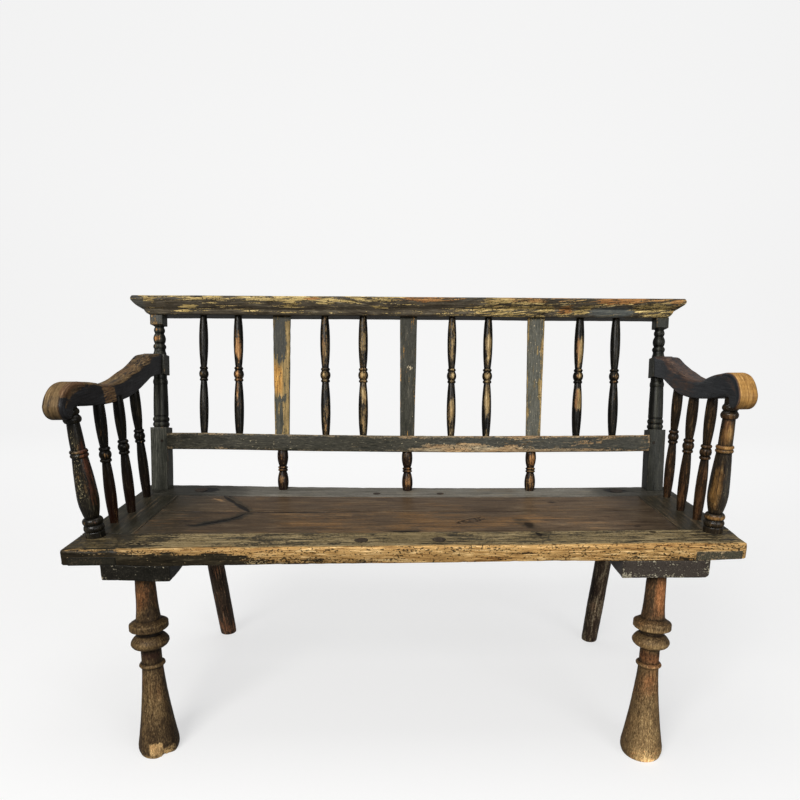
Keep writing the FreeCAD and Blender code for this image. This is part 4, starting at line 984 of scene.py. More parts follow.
# ---------------------------------------------------------------------- legs
FEET = {
    "front_leg_left": (-507, -205, -1.56, -6.04),
    "front_leg_right": (478.0, -216, 2.43, -7.52),
    "rear_leg_left": (-503, 280, -0.65, 14.03),
    "rear_leg_right": (492.5, 240, 2.41, 8.4),
}


def on_floor(p):
    q = p.copy()
    q[:, 2] = np.maximum(q[:, 2], 0.0)
    return q


for name, (fx, fy, splay, rake) in FEET.items():
    front, left = name.startswith("front"), name.endswith("left")
    xf = placed(fx, SEAT_Y + fy, 0, pitch=splay, roll=rake)
    if front:

        def worn(g, ang, w, d, left=left):
            z = g[:, 2]
            n = fractal(g / [16, 16, 60], 200 + left)
            foot = smooth(-z, -170, -20)
            rings = bump(z, 264, 10) + bump(z, 230, 9) + 0.7 * bump(z, 182, 6)
            front = facing(ang, -1.6, 1.9)
            fine = fractal(g / [3, 3, 4], 205 + left)
            grooves = bump(z, 248, 6) + bump(z, 212, 8)
            if left:
                wear = 0.26 + 0.18 * w + 0.20 * front * bump(z, 115, 90) + 0.12 * rings
                wear = wear + 0.16 * bump(z, 330, 60) * facing(ang, -1.8, 1.0)
                tone = 0.8 * bump(z, 335, 70) + 0.35 * bump(z, 150, 60) + 0.3 * n
                # lift: painted shade on the sides, away from the front
                lift = 0.28 - 0.34 * bump(z, 207, 26) - 0.35 * bump(z, 315, 70) - 0.6 * (1 - front)
                lift = lift - 0.40 * rings
                lift = lift - 0.15 * bump(z, 45, 50)
                fleck = 0.15 * foot
                cut = smooth(0.34 - np.abs(ang + 1.34), 0, 0.05) * smooth(-z, -31 + 3 * fine, -27 + 3 * fine)
                cut = cut * (1 - smooth(-z, -5, -2))
                torn = bump(ang, -0.75, 0.65) * smooth(-z, -22, -10)
                rim = smooth(-z, -7, 0) * front
                wear = wear + 1.0 * cut + 0.75 * torn * (0.7 + fine) + 0.6 * rim
                lift = lift + 0.9 * cut + 1.5 * torn * (0.7 + fine) + 1.0 * rim * (0.5 + fine)
                tone = tone * (1 - cut) + 0.38 * cut
                fleck = fleck * (1 - cut)
            else:
                wear = 0.40 + 0.15 * w + 0.24 * front * smooth(-z, -180, -40) + 0.18 * rings
                spot = bump(z, 328, 58) * facing(ang, -1.25, 1.0)
                wear = wear + 0.65 * spot - 0.30 * bump(z, 325, 70) * (1 - spot)
                tone = 1.1 * bump(z, 332, 75) + 0.6 * bump(z, 204, 24) + 0.25 * bump(z, 150, 50) + 0.25 * n
                # lift: the front of the foot painted lighter, painted shade on the sides
                lift = 0.60 + 0.20 * foot * front - 0.1 * bump(z, 203, 14) - 0.75 * (1 - front)
                lift = lift - 0.9 * bump(z, 376, 26) + 0.12 * rings
                fleck = 0.55 * foot
                edge = smooth(-z, -24 - 12 * fine, -10 - 12 * fine) * facing(ang, -1.35, 1.5)
                wear = wear + 0.6 * edge
                lift = lift + 1.3 * edge * (0.7 + 0.6 * fine) + 1.0 * smooth(-z, -9, -1) * edge
                tone = tone + 0.2 - 0.3 * edge + 0.6 * edge * (fine > 0.15)
            tint = 0.8 * bump(z, 205, 16)
            return dict(wear=wear + 0.10 * n, tone=tone, lift=lift, fleck=fleck,
                        tint=tint, dirt=np.clip(0.8 * d + 0.35 * grooves, 0, 1))

        def broken(g, ang):
            """The left foot's rim is broken away at its front right."""
            fine = fractal(g / [4, 4, 4], 207)
            away = bump(ang, -0.85, 0.62) * smooth(-g[:, 2], -24, -3) * (1 + 0.5 * fine)
            return 1 - 0.24 * away

        rows = FRONTLEG
        if not left:  # this one's rings stand a little higher and its foot is fuller
            rows = [
                (*r[:-2], r[-2] + 5.4 * float(bump(r[-2], 235, 190)),
                 r[-1] + 1.3 * float(smooth(-r[-2], -150, -10)))
                for r in FRONTLEG
            ]  # fmt: skip
        turned(
            name + "_turning", rows, xf, M["front_leg"], [name],
            200 + left, segments=96, step=1.5, worn=worn, rough=1.5, flat=on_floor,
            broken=broken if left else None,
        )  # fmt: skip
    else:

        def worn(g, ang, w, d, left=left):
            n = fractal(g / [8, 8, 40], 210 + left)
            front = facing(ang, -1.55, 1.9)
            # lift: painted shade on the sides, away from the front
            return dict(wear=0.30 + 0.22 * n + 0.2 * smooth(-g[:, 2], -14, 2), dirt=d,
                        tone=(0.7 if left else 0.1) + 0.3 * n, lift=0.72 - 1.2 * (1 - front))

        leg = [r for r in REARLEG]
        v, f, g, w, d = lathe(leg, 28, 5.0, 210 + left, 2.2)
        v2, f2, g2, w2, d2 = lathe([(370, 15), (458, 15)], 40, 4.0, 212 + left, 0.4)
        p, p2 = on_floor(xf(v)), xf(v2)
        p2[:, 2] = np.minimum(p2[:, 2], SEAT_H + 0.5)
        a = (p, f, g, W(len(w), **worn(g, np.arctan2(g[:, 1], g[:, 0]), w, d)))
        b = (p2, f2, g2[:, [0, 2, 1]], W(len(w2), -0.1, 0.3, 0.5))
        P, Fc, Gc, Wm = join([a, b])
        make(name + "_shaft", P, Fc, Gc, Wm, M["rear_leg"], [name], 210 + left, 40)


# ------------------------------------------------------------------ the posts
POST_LOW = [
    (146, 17), (150.4, 17.1), ("arc", 155.7, 19.2), (161, 17.1), (162.5, 16.8), ("arc", 168.2, 19),
    (174, 16.9), (175.6, 16.4), (178.5, 17.3), ("arc", 215, 16.9), (252, 15.9), (254, 15.8),
    ("arc", 260.5, 17.1), (267, 15.8), (269, 15.2), (280, 15.2),
]  # fmt: skip
POST_HIGH = [
    (325, 15.2), (331, 15), ("arc", 336, 13.4), (342, 12.9), ("arc", 347.8, 15), (353.6, 12.2),
    (355.3, 11.2), ("arc", 366.8, 14.3), (378.6, 10.8), (380.5, 10.3), ("arc", 387.8, 12.7),
    (394.8, 10.4), (399.6, 12.4), (401, 12.4),
]  # fmt: skip


def block(w, d, s0, s1, radius, v_off=0.0, step=6.0, foot=False, seed=0, ragged=0.5):
    """A squared length of a post, local x, v, s."""
    sec, nor, near = rounded(w, d, [radius] * 4, step)
    v, f, e = prism(sec, nor, near, s1 - s0, step, 1.2)
    v = v + [0, v_off, s0]
    g = v.copy()
    soft = np.clip(1 - e / 5.0, 0, 1)
    v[:, :2] *= 1 - 0.012 * soft[:, None] * np.clip(value_noise(v / [6, 6, 14], seed), 0, 1)[:, None]
    v[:, 0] += ragged * 0.35 * value_noise(g / [20, 20, 60], seed + 1)
    v[:, 1] += ragged * 0.35 * value_noise(g / [20, 20, 60], seed + 2)
    if foot:
        low = g[:, 2] < 14
        v[low, 2] = np.where(
            g[low, 2] < 2.0, v[low, 1] * math.tan(math.radians(LEAN)) - 2.0, v[low, 2]
        )
    return v, f, g, e


for side, sign in (("left", -1), ("right", 1)):
    x0, splay = POST_AT[side]
    xf = placed(x0, BACK_Y, SEAT_H - 0.7, pitch=splay, roll=-LEAN)
    seed = 300 if side == "left" else 310
    parts = []
    v, f, g, e = block(POST_W, POST_D, -9, 148, 1.6, seed=seed)
    low = smooth(-g[:, 2], -40, 60)
    # lift: the side face towards the middle of the bench painted darker, a painted shade
    parts.append((v, f, g, W(len(e), 0.30 * np.exp(-e / 2.2) + 0.03 * low, 0.25 * np.exp(-(g[:, 2] + 4) / 5),
                             0.4, lift=(0.80 if side == "left" else -0.32) - 0.55 * (g[:, 0] * sign < -19.2),
                             fleck=0.25)))
    v, f, g, e = block(36, 33, 278, 327, 1.6, v_off=33 / 2 - POST_D / 2, seed=seed + 1)
    parts.append((v, f, g, W(len(e), 0.30 * np.exp(-e / 2.2), 0, 0.4, lift=-0.2, fleck=0.15)))
    v, f, g, e = block(31, 32, 399, CREST_0 + 3, 2.0, v_off=32 / 2 - POST_D / 2, seed=seed + 2)
    streaky = 0.45 * bump(g[:, 0], 4 * sign, 12) if side == "left" else 0.0 * e
    parts.append((v, f, g, W(len(e), 0.4 * np.exp(-e / 2.5) + streaky, 0, 0.1, fleck=0.3)))
    for rows in (POST_LOW, POST_HIGH):
        v, f, g, w, d = lathe(rows, 48, 1.2, seed + 4)
        ang = np.arctan2(g[:, 1], g[:, 0])
        wear = 0.25 * w
        if rows is POST_HIGH:
            k = 1.0 if side == "left" else 0.5
            wear = wear + k * 0.65 * bump(g[:, 2], 366.5, 12) * facing(ang, -1.7, 1.0)
            wear = wear + k * 0.45 * bump(g[:, 2], 388, 8) * facing(ang, -1.7, 1.0)
        # painted light and shade: darker in the grooves, painted highlight streaks down the front (streak), painted
        # shade on the sides; grime in the grooves too
        groove_shade = smooth(d, 0.05, 0.5)
        streak = facing(ang, -1.9, 0.5) + 0.8 * facing(ang, -1.1, 0.35)
        limb_shade = 1 - facing(ang, -1.5, 1.5)
        dark = 0.0 if side == "left" else 0.45
        parts.append((v, f, g, W(len(w), wear, np.minimum(1, 1.2 * d), 0.75,
                                 lift=-0.95 - dark - 0.5 * groove_shade + 2.2 * streak - 1.0 * limb_shade,
                                 fleck=0.5 * streak)))
    v, f, g, wm = join(parts)
    make("post_" + side, xf(v), f, g, wm, M["frame"], ["back_post_" + side], seed)


# ---------------------------------------------------------- straight boards
def board(name, size, radii, xf, material, nodes, seed, step=5.0, long_step=8.0,
          end_r=1.5, wear=None, squeeze=None, edge_wear=0.45, edge_width=3.0, wave=0.35,
          crack=None, carve=None):
    """A sawn board: size across, through, along; xf takes local points about the
    board's middle (along from 0) to the row frame."""
    a, b, length = size
    sec, nor, near = rounded(a, b, radii, step)
    v, f, e = prism(sec, nor, near, length, long_step, end_r, squeeze)
    g = v.copy()
    v = v + wave * np.stack(
        [
            value_noise(g / [30, 30, 90], seed),
            value_noise(g / [30, 30, 90], seed + 1),
            0 * e,
        ],
        1,
    )
    dent = np.clip(value_noise(g / [7, 7, 16], seed + 2) - 0.1, 0, 1) * np.exp(-e / 2.5)
    pull = np.stack([np.sign(g[:, 0]) * dent, np.sign(g[:, 1]) * dent, 0 * e], 1)
    v = v - 0.8 * pull
    if carve is not None:
        v = carve(v, g, e)
    rub = edge_wear * np.exp(-e / edge_width)
    table = dict(wear=rub)
    if wear is not None:
        table = wear(g, e, rub)
    return make(
        name, xf(v), f, g, W(len(e), **table), material, nodes, seed,
        crack=None if crack is None else crack(g),
    )  # fmt: skip


def along_x(y, z, x0):
    """Board axes (across, through, along) to (y, z, x)."""
    t = np.array([x0, y, z])
    return lambda p: np.stack([p[:, 2], p[:, 0], p[:, 1]], 1) + t


def along_y(x, z, y0):
    """(across, through, along) to (x, z, y)."""
    t = np.array([x, y0, z])
    return lambda p: np.stack([p[:, 0], p[:, 2], p[:, 1]], 1) + t


def back_board_x(s, v, x0):
    """(across, through, along) to (up the back, through it, x)."""
    xf = on_back(0, 0, 0)
    return lambda p: xf(np.stack([p[:, 2] + x0, p[:, 1] + v, p[:, 0] + s], 1))


# mid rail
def mid_wear(g, e, rub):
    x = g[:, 2] - 592
    right = smooth(x, -120, 160)
    up = smooth(g[:, 0], -6, 19)
    n = fractal(np.stack([g[:, 0] / 8, g[:, 1] / 8, x / 55], 1), 61)
    n2 = fractal(g / [4, 4, 30], 63)
    wear = 0.9 * rub + 0.06 + 0.10 * right + 0.14 * n + 0.16 * up * n2
    wear = wear + 0.25 * smooth(g[:, 0], 15, 19)
    patch = spots(x, g[:, 0], [
        (110, -12, 80, 9, (0.8,)), (190, -11, 70, 11, (0.75,)), (60, -15, 60, 5, (0.6,)),
        (330, -16, 160, 5, (0.5,)), (430, 2, 60, 8, (0.3,)), (20, 16, 90, 4, (0.3,)),
    ], 0.9 * n2)[0]  # fmt: skip
    wear = wear + patch
    thick = spots(x, g[:, 0], [(-330, 0, 110, 22, (1,)), (-30, 2, 60, 20, (0.8,)), (180, 0, 120, 20, (0.6,))],
                  0.5 * n)[0]  # fmt: skip
    return dict(wear=wear, tone=0.2 + 0.5 * n + 0.4 * right, fleck=0.34 + 0.2 * thick + 0.3 * n2,
                tint=0.40 * right, lift=0.44 * right - 0.22 + 0.3 * patch - 0.5 * smooth(-g[:, 0], 17.5, 19.5))


board(
    "mid_rail_board", (MID_1 - MID_0, 30.0, 1184.0), [1.8] * 4,
    back_board_x((MID_0 + MID_1) / 2, FRONT_V + 15, -592), M["mid"], ["mid_rail"],
    320, step=4.5, long_step=7, wear=mid_wear, edge_wear=0.55,
)  # fmt: skip

# splats: across x, through v, along s
for i, (x, lean_x) in enumerate(((-314, -0.14), (-5.9, 0.56), (305.8, 1.14))):

    def wear(g, e, rub, i=i):
        s, a = g[:, 2], g[:, 0]
        n = fractal(g / [6, 6, 40], 330 + i)
        n2 = fractal(g / [4, 4, 14], 340 + i)
        front = g[:, 1] < 0
        if i == 0:
            # bare along the right at the top, across the middle, down the right below
            w = 0.05 + rub + 0.75 * bump(a, 15, 9) * smooth(s, 150, 190) * (1 - smooth(s, 272, 284))
            w = w + 0.80 * smooth(s + 14 * n, 88, 106) * (1 - smooth(s + 26 * n2, 176, 196)) * smooth(
                -np.abs(a + 1), -20.5, -15)
            w = w + 0.72 * smooth(a + 5 * n, -2, 8) * smooth(-s, -108, -74)
            w = w + 0.45 * bump(a + 8 - 0.12 * (s - 50), 0, 4) * bump(s, 62, 36)
            tone = 0.05 + 0.95 * bump(s, 138, 66) * smooth(-a, -9, 4)
            lift = 0.12 - 0.35 * smooth(s, 160, 200) * smooth(-a, -8, 2) - 0.3 * smooth(-e, -2.2, -0.6)
            lift = lift - 0.45 * (1 - smooth(w, 0.25, 0.5)) * smooth(s, 60, 150)
            tint, fl = 0.12, 0.25
        elif i == 1:
            w = 0.04 + 0.6 * rub + 0.40 * smooth(a, 14, 21) * smooth(-s, -150, -10)
            tone, lift, tint = 0.7, -0.12, 0.0
            fl = 0.42 + spots(a, s, [(4, 168, 8, 9, (0.6,))], 0.4 * n2)[0]
        else:
            line = smooth(fractal(np.stack([a / 2.2, g[:, 1] / 9, s / 60], 1), 345), 0.25, 0.5)
            w = 0.12 + 1.1 * rub + 0.34 * smooth(a, 8, 21) + 0.85 * line * smooth(a, -2, 5) * smooth(-s, -250, -190)
            w = w + 0.8 * line * smooth(-a, 11, 15) + 0.35 * smooth(a, 13, 19) * bump(s, 62, 66)
            w = w + 0.25 * line * smooth(a, -12, -2)
            tone, lift, tint, fl = 0.2, 0.32, 0.45, 0.60
        w = np.where(front, w, 0.1 + 0.6 * rub)
        return dict(wear=w + 0.10 * n + 0.10 * n2, tone=tone + 0.2 * n, lift=lift, tint=tint, fleck=fl)

    board(
        "splat_%d" % (i + 1), (42.0, 10.0, SPAN + 4), [1.3] * 4,
        on_back(x, SPIN_V, MID_1 - 2, pitch=lean_x), M["splat"], ["back_splat_%d" % (i + 1)],
        330 + i, step=3.5, long_step=5, wear=wear,
        squeeze=lambda L: ((35 + 7 * np.clip(L / SPAN, 0, 1)) / 42.0, 1.0),
    )  # fmt: skip

# ---------------------------------------------------------------- crest rail
MOULD = {
    -1: [(0, 0), (4.0, 0.8), ("arc", 9.4, 5.2), (11.4, 9.8), (13.4, 11.2), ("arc", 22, 15.4),
         (30.6, 23.2), (33.8, 27.6), ("arc", 34.2, 34), (31, 39.2)],
    1: [(0, 0), (5.0, 2.4), ("arc", 10.8, 9.4), (12.8, 15.6), (15.0, 17.2), ("arc", 24, 20.0),
        (31.4, 24.6), (34.0, 28), ("arc", 34.2, 34), (31, 39.2)],
}  # fmt: skip
half0 = 608.5 + POST_W / 2


def resample(p, count):
    d = np.concatenate([[0], np.cumsum(np.hypot(*np.diff(p, axis=0).T))])
    t = np.linspace(0, d[-1], count)
    return np.stack([np.interp(t, d, p[:, 0]), np.interp(t, d, p[:, 1])], 1)


def crest():
    n = 38
    ends = {k: resample(dense(rows, 0.8), n) for k, rows in MOULD.items()}
    depth_back = POST_D / 2 + 3
    stations = np.unique(
        np.concatenate([np.linspace(-1, 1, 420), np.linspace(0.93, 1, 14), -np.linspace(0.93, 1, 14)])
    )
    m = 9  # columns across the top, the bottom and the ends
    verts = []
    for u in stations:
        k = float(smooth(u, -0.5, 0.5))
        sec = ends[-1] * (1 - k) + ends[1] * k
        e_, up = sec[:, 0], sec[:, 1]
        t = np.arange(1, m) / m
        lv = np.concatenate([FRONT_V - e_, (FRONT_V - e_[-1]) * (1 - t) + depth_back * t,
                             np.full(n, depth_back), depth_back * (1 - t) + FRONT_V * t])
        ls = np.concatenate([up, np.full(m - 1, CREST_H), up[::-1], np.zeros(m - 1)])
        lh = np.concatenate([half0 + e_, np.full(m - 1, half0 + e_[-1]), half0 + e_[::-1],
                             np.full(m - 1, half0)])
        verts.append(np.column_stack([u * lh, lv, ls]))
    c = len(verts[0])
    faces = []
    for i in range(len(stations) - 1):
        for j in range(c):
            k = (j + 1) % c
            faces.append((i * c + j, i * c + k, (i + 1) * c + k, (i + 1) * c + j))
    verts = np.vstack(verts)
    # ends: front profile joined to the back at the same height
    base = len(verts)
    extra = []
    for s in (-1, 1):
        for e_, up in ends[s]:
            for q in range(m + 1):
                t = q / m
                extra.append((s * (half0 + e_), (FRONT_V - e_) * (1 - t) + depth_back * t, up))
    for side in range(2):
        b = base + side * n * (m + 1)
        for k in range(n - 1):
            for q in range(m):
                faces.append((b + k * (m + 1) + q, b + k * (m + 1) + q + 1,
                              b + (k + 1) * (m + 1) + q + 1, b + (k + 1) * (m + 1) + q))
    return np.vstack([verts, extra]), faces


v, f = crest()
# the grain runs a little uphill at the right, downhill left of the middle
g = np.stack([v[:, 1], v[:, 2] - 0.12 * np.maximum(v[:, 0] - 150, 0)
              + 0.09 * np.clip(v[:, 0] + 250, 0, 200), v[:, 0]], 1)  # fmt: skip
q = v.copy()
v[:, 1] += 0.5 * value_noise(q / [120, 40, 40], 401) + 0.25 * value_noise(q / [30, 9, 9], 402)
v[:, 2] += 0.6 * value_noise(q / [160, 60, 60], 403) + 0.2 * value_noise(q / [24, 9, 9], 404)
nose = bump(q[:, 2], 31, 9) * (q[:, 1] < -30)
chips = np.clip(value_noise(q / [16, 8, 8], 405) - 0.05, 0, 1)
v[:, 1] += 1.6 * nose * chips
x, up = q[:, 0], q[:, 2]
front = (q[:, 1] < FRONT_V + 0.5) | (np.abs(x) > half0 - 1)
band = smooth(up, 25.0, 28.5) * front
cove = front * (1 - band)
tilt = 0.12 * smooth(x, 60, 300) - 0.09 * bump(x, -150, 160)
flow = up - tilt * x
n1 = fractal(np.stack([x / 60, q[:, 1] / 12, flow / 4.5], 1), 410)
n2 = fractal(np.stack([x / 24, q[:, 1] / 6, flow / 1.9], 1), 411)
wear = band * (0.50 + 0.06 * smooth(-x, -60, 60) + 0.34 * n1 + 0.26 * n2)
wear = wear + cove * (0.02 + 0.26 * n1 + 0.16 * n2 + 0.18 * smooth(x, 120, 260))
# worn and painted places: (x, up, reach, reach, (worn, tone, lift, tint), slope)
marked = spots(x, up, [
    (-532, 15.5, 24, 4.2, (0.9, -0.4, 0.45, 0)), (-543, 7.6, 22, 2.6, (0.8, -0.4, 0.40, 0)),
    (-617, 22, 13, 1.8, (0.5, 0, 0.1, 0)), (-470, 22, 10, 1.8, (0.5, 0, 0.1, 0)),
    (-293, 32, 60, 7.5, (0.35, -0.2, 0.2, 0)), (-286, 20, 22, 6.5, (0.55, -0.5, 0.05, 0)),
    (-231, 32.4, 20, 2.8, (0.5, 1.2, 0.15, 0)), (-155, 26.7, 64, 2.4, (0.8, 0, 0.25, 0), -0.09),
    (-71, 16.5, 23, 2.4, (0.8, -0.4, 0.4, 0), -0.04), (-198, 23, 22, 2.0, (0.7, -0.4, 0.35, 0)),
    (26, 32, 50, 7, (0.1, 0.6, 0, 0)), (127, 32, 56, 8, (-0.35, 0.2, -0.25, 0)),
    (207, 32, 38, 7, (0.15, -0.3, 0, 0)), (253, 13, 115, 15, (0.34, -0.1, 0.25, 0)),
    (378, 14, 19, 9, (0.5, 0.9, 0, 0), 0.12), (420, 14, 20, 9, (0.5, -0.6, 0.1, 0), 0.12),
    (494, 10, 60, 11, (-0.4, 0, 0.0, 0.9)), (505, 33, 60, 9, (0.45, 0.9, 0.10, 0)),
    (600, 14, 60, 14, (0.30, -0.2, 0.0, 0)), (640, 24, 14, 14, (0.10, 0.5, -0.3, 0)),
    (-652, 20, 18, 24, (-0.5, 0, -0.35, 0.6)),
], 0.55 * n2) * front  # fmt: skip
wear = wear + marked[0]
light_line = front * bump(up, 5.8, 1.9) * smooth(x, -440, -400) * (0.6 + 0.6 * n2)
wear = wear + 0.38 * light_line
wear = wear + (1 - front) * (0.25 * (up > 30) + 0.1 * n1)
tone = 0.08 + 0.5 * smooth(x, -110, 60) * band + 0.25 * n2 + marked[1]
# painted shade under the nose and along the rounded top edge, with grime in the cove
grime_shade_amount = 0.30 * cove * bump(up, 23, 4.0) * (0.5 + 0.5 * n2) + 0.45 * smooth(up, 38.0, 39.2)
lift = 0.12 * band + cove * (0.70 + 0.10 * smooth(x, -60, 60)) * (1 - smooth(wear, 0.30, 0.52))
lift = lift + marked[2] + 0.25 * light_line + 0.40 * cove
# the underside painted dark: painted shade
lift = lift - 0.9 * (up < 0.4) + 0.25 * n1 * band
tint = marked[3]
make(
    "crest_moulding", on_back(0, 0, CREST_0)(v), f, g,
    W(len(wear), wear, np.clip(grime_shade_amount, 0, 1), np.clip(tone, 0, 1), lift, 0.35 * front, np.clip(tint, 0, 1)),
    M["crest"], ["crest_rail"], 400, 42,
)  # fmt: skip

# ------------------------------------------------------------------ the arms
ARM_TOPLINE = [
    (244.2, 763), (191, 764.4), ("arc", 185, 763.6), (179, 761.4), ("arc", 130, 746), (80, 736.4),
    ("arc", 45, 729.4), (8, 726.4), ("arc", -25, 727.4), (-52, 732.4), ("arc", -84, 741.6),
    (-120, 747.2), ("arc", -167, 740.5), (-188, 714),
]  # fmt: skip
ARM_LOWLINE = [
    (232.7, 714.5), (174, 714.5), ("arc", 152, 708), (128, 702), ("arc", 74, 690.6), (18, 687.6),
    ("arc", -62, 693), (-140, 705), (-151.5, 705.4), (-153.3, 703.5), (-153.8, 697),
    ("arc", -157.6, 690.0), (-165, 686.4), ("arc", -182, 693), (-188, 714),
]  # fmt: skip
ARM_AT = {"left": (-623.5, -1.3, 0.85), "right": (621.0, -1.35, -0.65)}
POST_FACE_Z = 738.75
POST_FACE_Y = SEAT_D / 2 - POST_D / CL + (POST_FACE_Z - SEAT_H) * math.tan(math.radians(LEAN))


def relax(p, passes):
    """Smooth an open outline, its two ends held."""
    q = p.copy()
    for _ in range(passes):
        q[1:-1] = 0.5 * q[1:-1] + 0.25 * (q[:-2] + q[2:])
    return q


def arm(side):
    n = 170
    top = relax(resample(dense(ARM_TOPLINE, 1.5), n), 10)
    low = relax(resample(dense(ARM_LOWLINE, 1.0), n), 3)
    loop = np.vstack([top, low[-2::-1]])  # rear top .. tip .. rear bottom
    c = len(loop)
    nxt, prv = np.roll(loop, -1, 0), np.roll(loop, 1, 0)
    t = nxt - prv
    t = t / np.maximum(np.hypot(t[:, 0], t[:, 1]), 1e-9)[:, None]
    nor = np.stack([t[:, 1], -t[:, 0]], 1)
    mid = np.array([30.0, 715.0])
    if (nor[60] @ (loop[60] - mid)) < 0:
        nor = -nor
    k = np.arange(c)
    is_top = smooth(n + 34 - k, -6, 6)  # the top edge and the rolled front
    rad = 3.2 + 5.2 * is_top
    rad[:3] = rad[-3:] = 1.2
    rad = blurred(rad, np.arange(c, dtype=float), 3.0)
    rad[0] = rad[-1] = 1.0
    h = 22.0
    layers = []
    for j in range(7):
        a = 0.5 * math.pi * j / 6
        layers.append((-1, 1 - math.sin(a), 1 - math.cos(a), a))
    xs, ins, tags = [], [], []
    for j in range(7):  # outer face to edge
        a = 0.5 * math.pi * j / 6
        xs.append(-h + rad * (1 - math.cos(a)))
        ins.append(rad * (1 - math.sin(a)))
        tags.append(np.full(c, abs(a - 0.25 * math.pi) * 6))
    flat = 8
    for j in range(1, flat):
        f = j / flat
        xs.append((-h + rad) * (1 - f) + (h - rad) * f)
        ins.append(0 * rad)
        tags.append(np.full(c, min(f, 1 - f) * 30 + 3))
    for j in range(6, -1, -1):
        a = 0.5 * math.pi * j / 6
        xs.append(h - rad * (1 - math.cos(a)))
        ins.append(rad * (1 - math.sin(a)))
        tags.append(np.full(c, abs(a - 0.25 * math.pi) * 6))
    verts, edge, part = [], [], []
    for x, i, tg in zip(xs, ins, tags):
        p = loop - nor * i[:, None]
        verts.append(np.column_stack([x, p]))
        edge.append(tg)
        part.append(k.astype(float))
    L = len(xs)
    faces = []
    for i in range(L - 1):
        for j in range(c):
            kk = (j + 1) % c
            faces.append((i * c + j, i * c + kk, (i + 1) * c + kk, (i + 1) * c + j))
    verts, edge, part = np.vstack(verts), np.concatenate(edge), np.concatenate(part)
    cols = 10
    for lay in (0, L - 1):
        ring = verts[lay * c : (lay + 1) * c]
        b = len(verts)
        rows, ee, pp = [], [], []
        for j in range(n):
            a_, z_ = ring[j], ring[(2 * n - 2 - j) % c] if j < n - 1 else ring[j]
            for qn in range(cols + 1):
                f = qn / cols
                rows.append(a_ * (1 - f) + z_ * f)
                ee.append(min(f, 1 - f) * 40 + 3)
                pp.append(-1.0)
        verts = np.vstack([verts, rows])
        edge = np.concatenate([edge, ee])
        part = np.concatenate([part, pp])
        for j in range(n - 1):
            for qn in range(cols):
                faces.append((b + j * (cols + 1) + qn, b + j * (cols + 1) + qn + 1,
                              b + (j + 1) * (cols + 1) + qn + 1, b + (j + 1) * (cols + 1) + qn))
    run = np.concatenate([[0.0], np.cumsum(np.hypot(*np.diff(loop, axis=0).T))])
    return verts, faces, edge, part, n, run


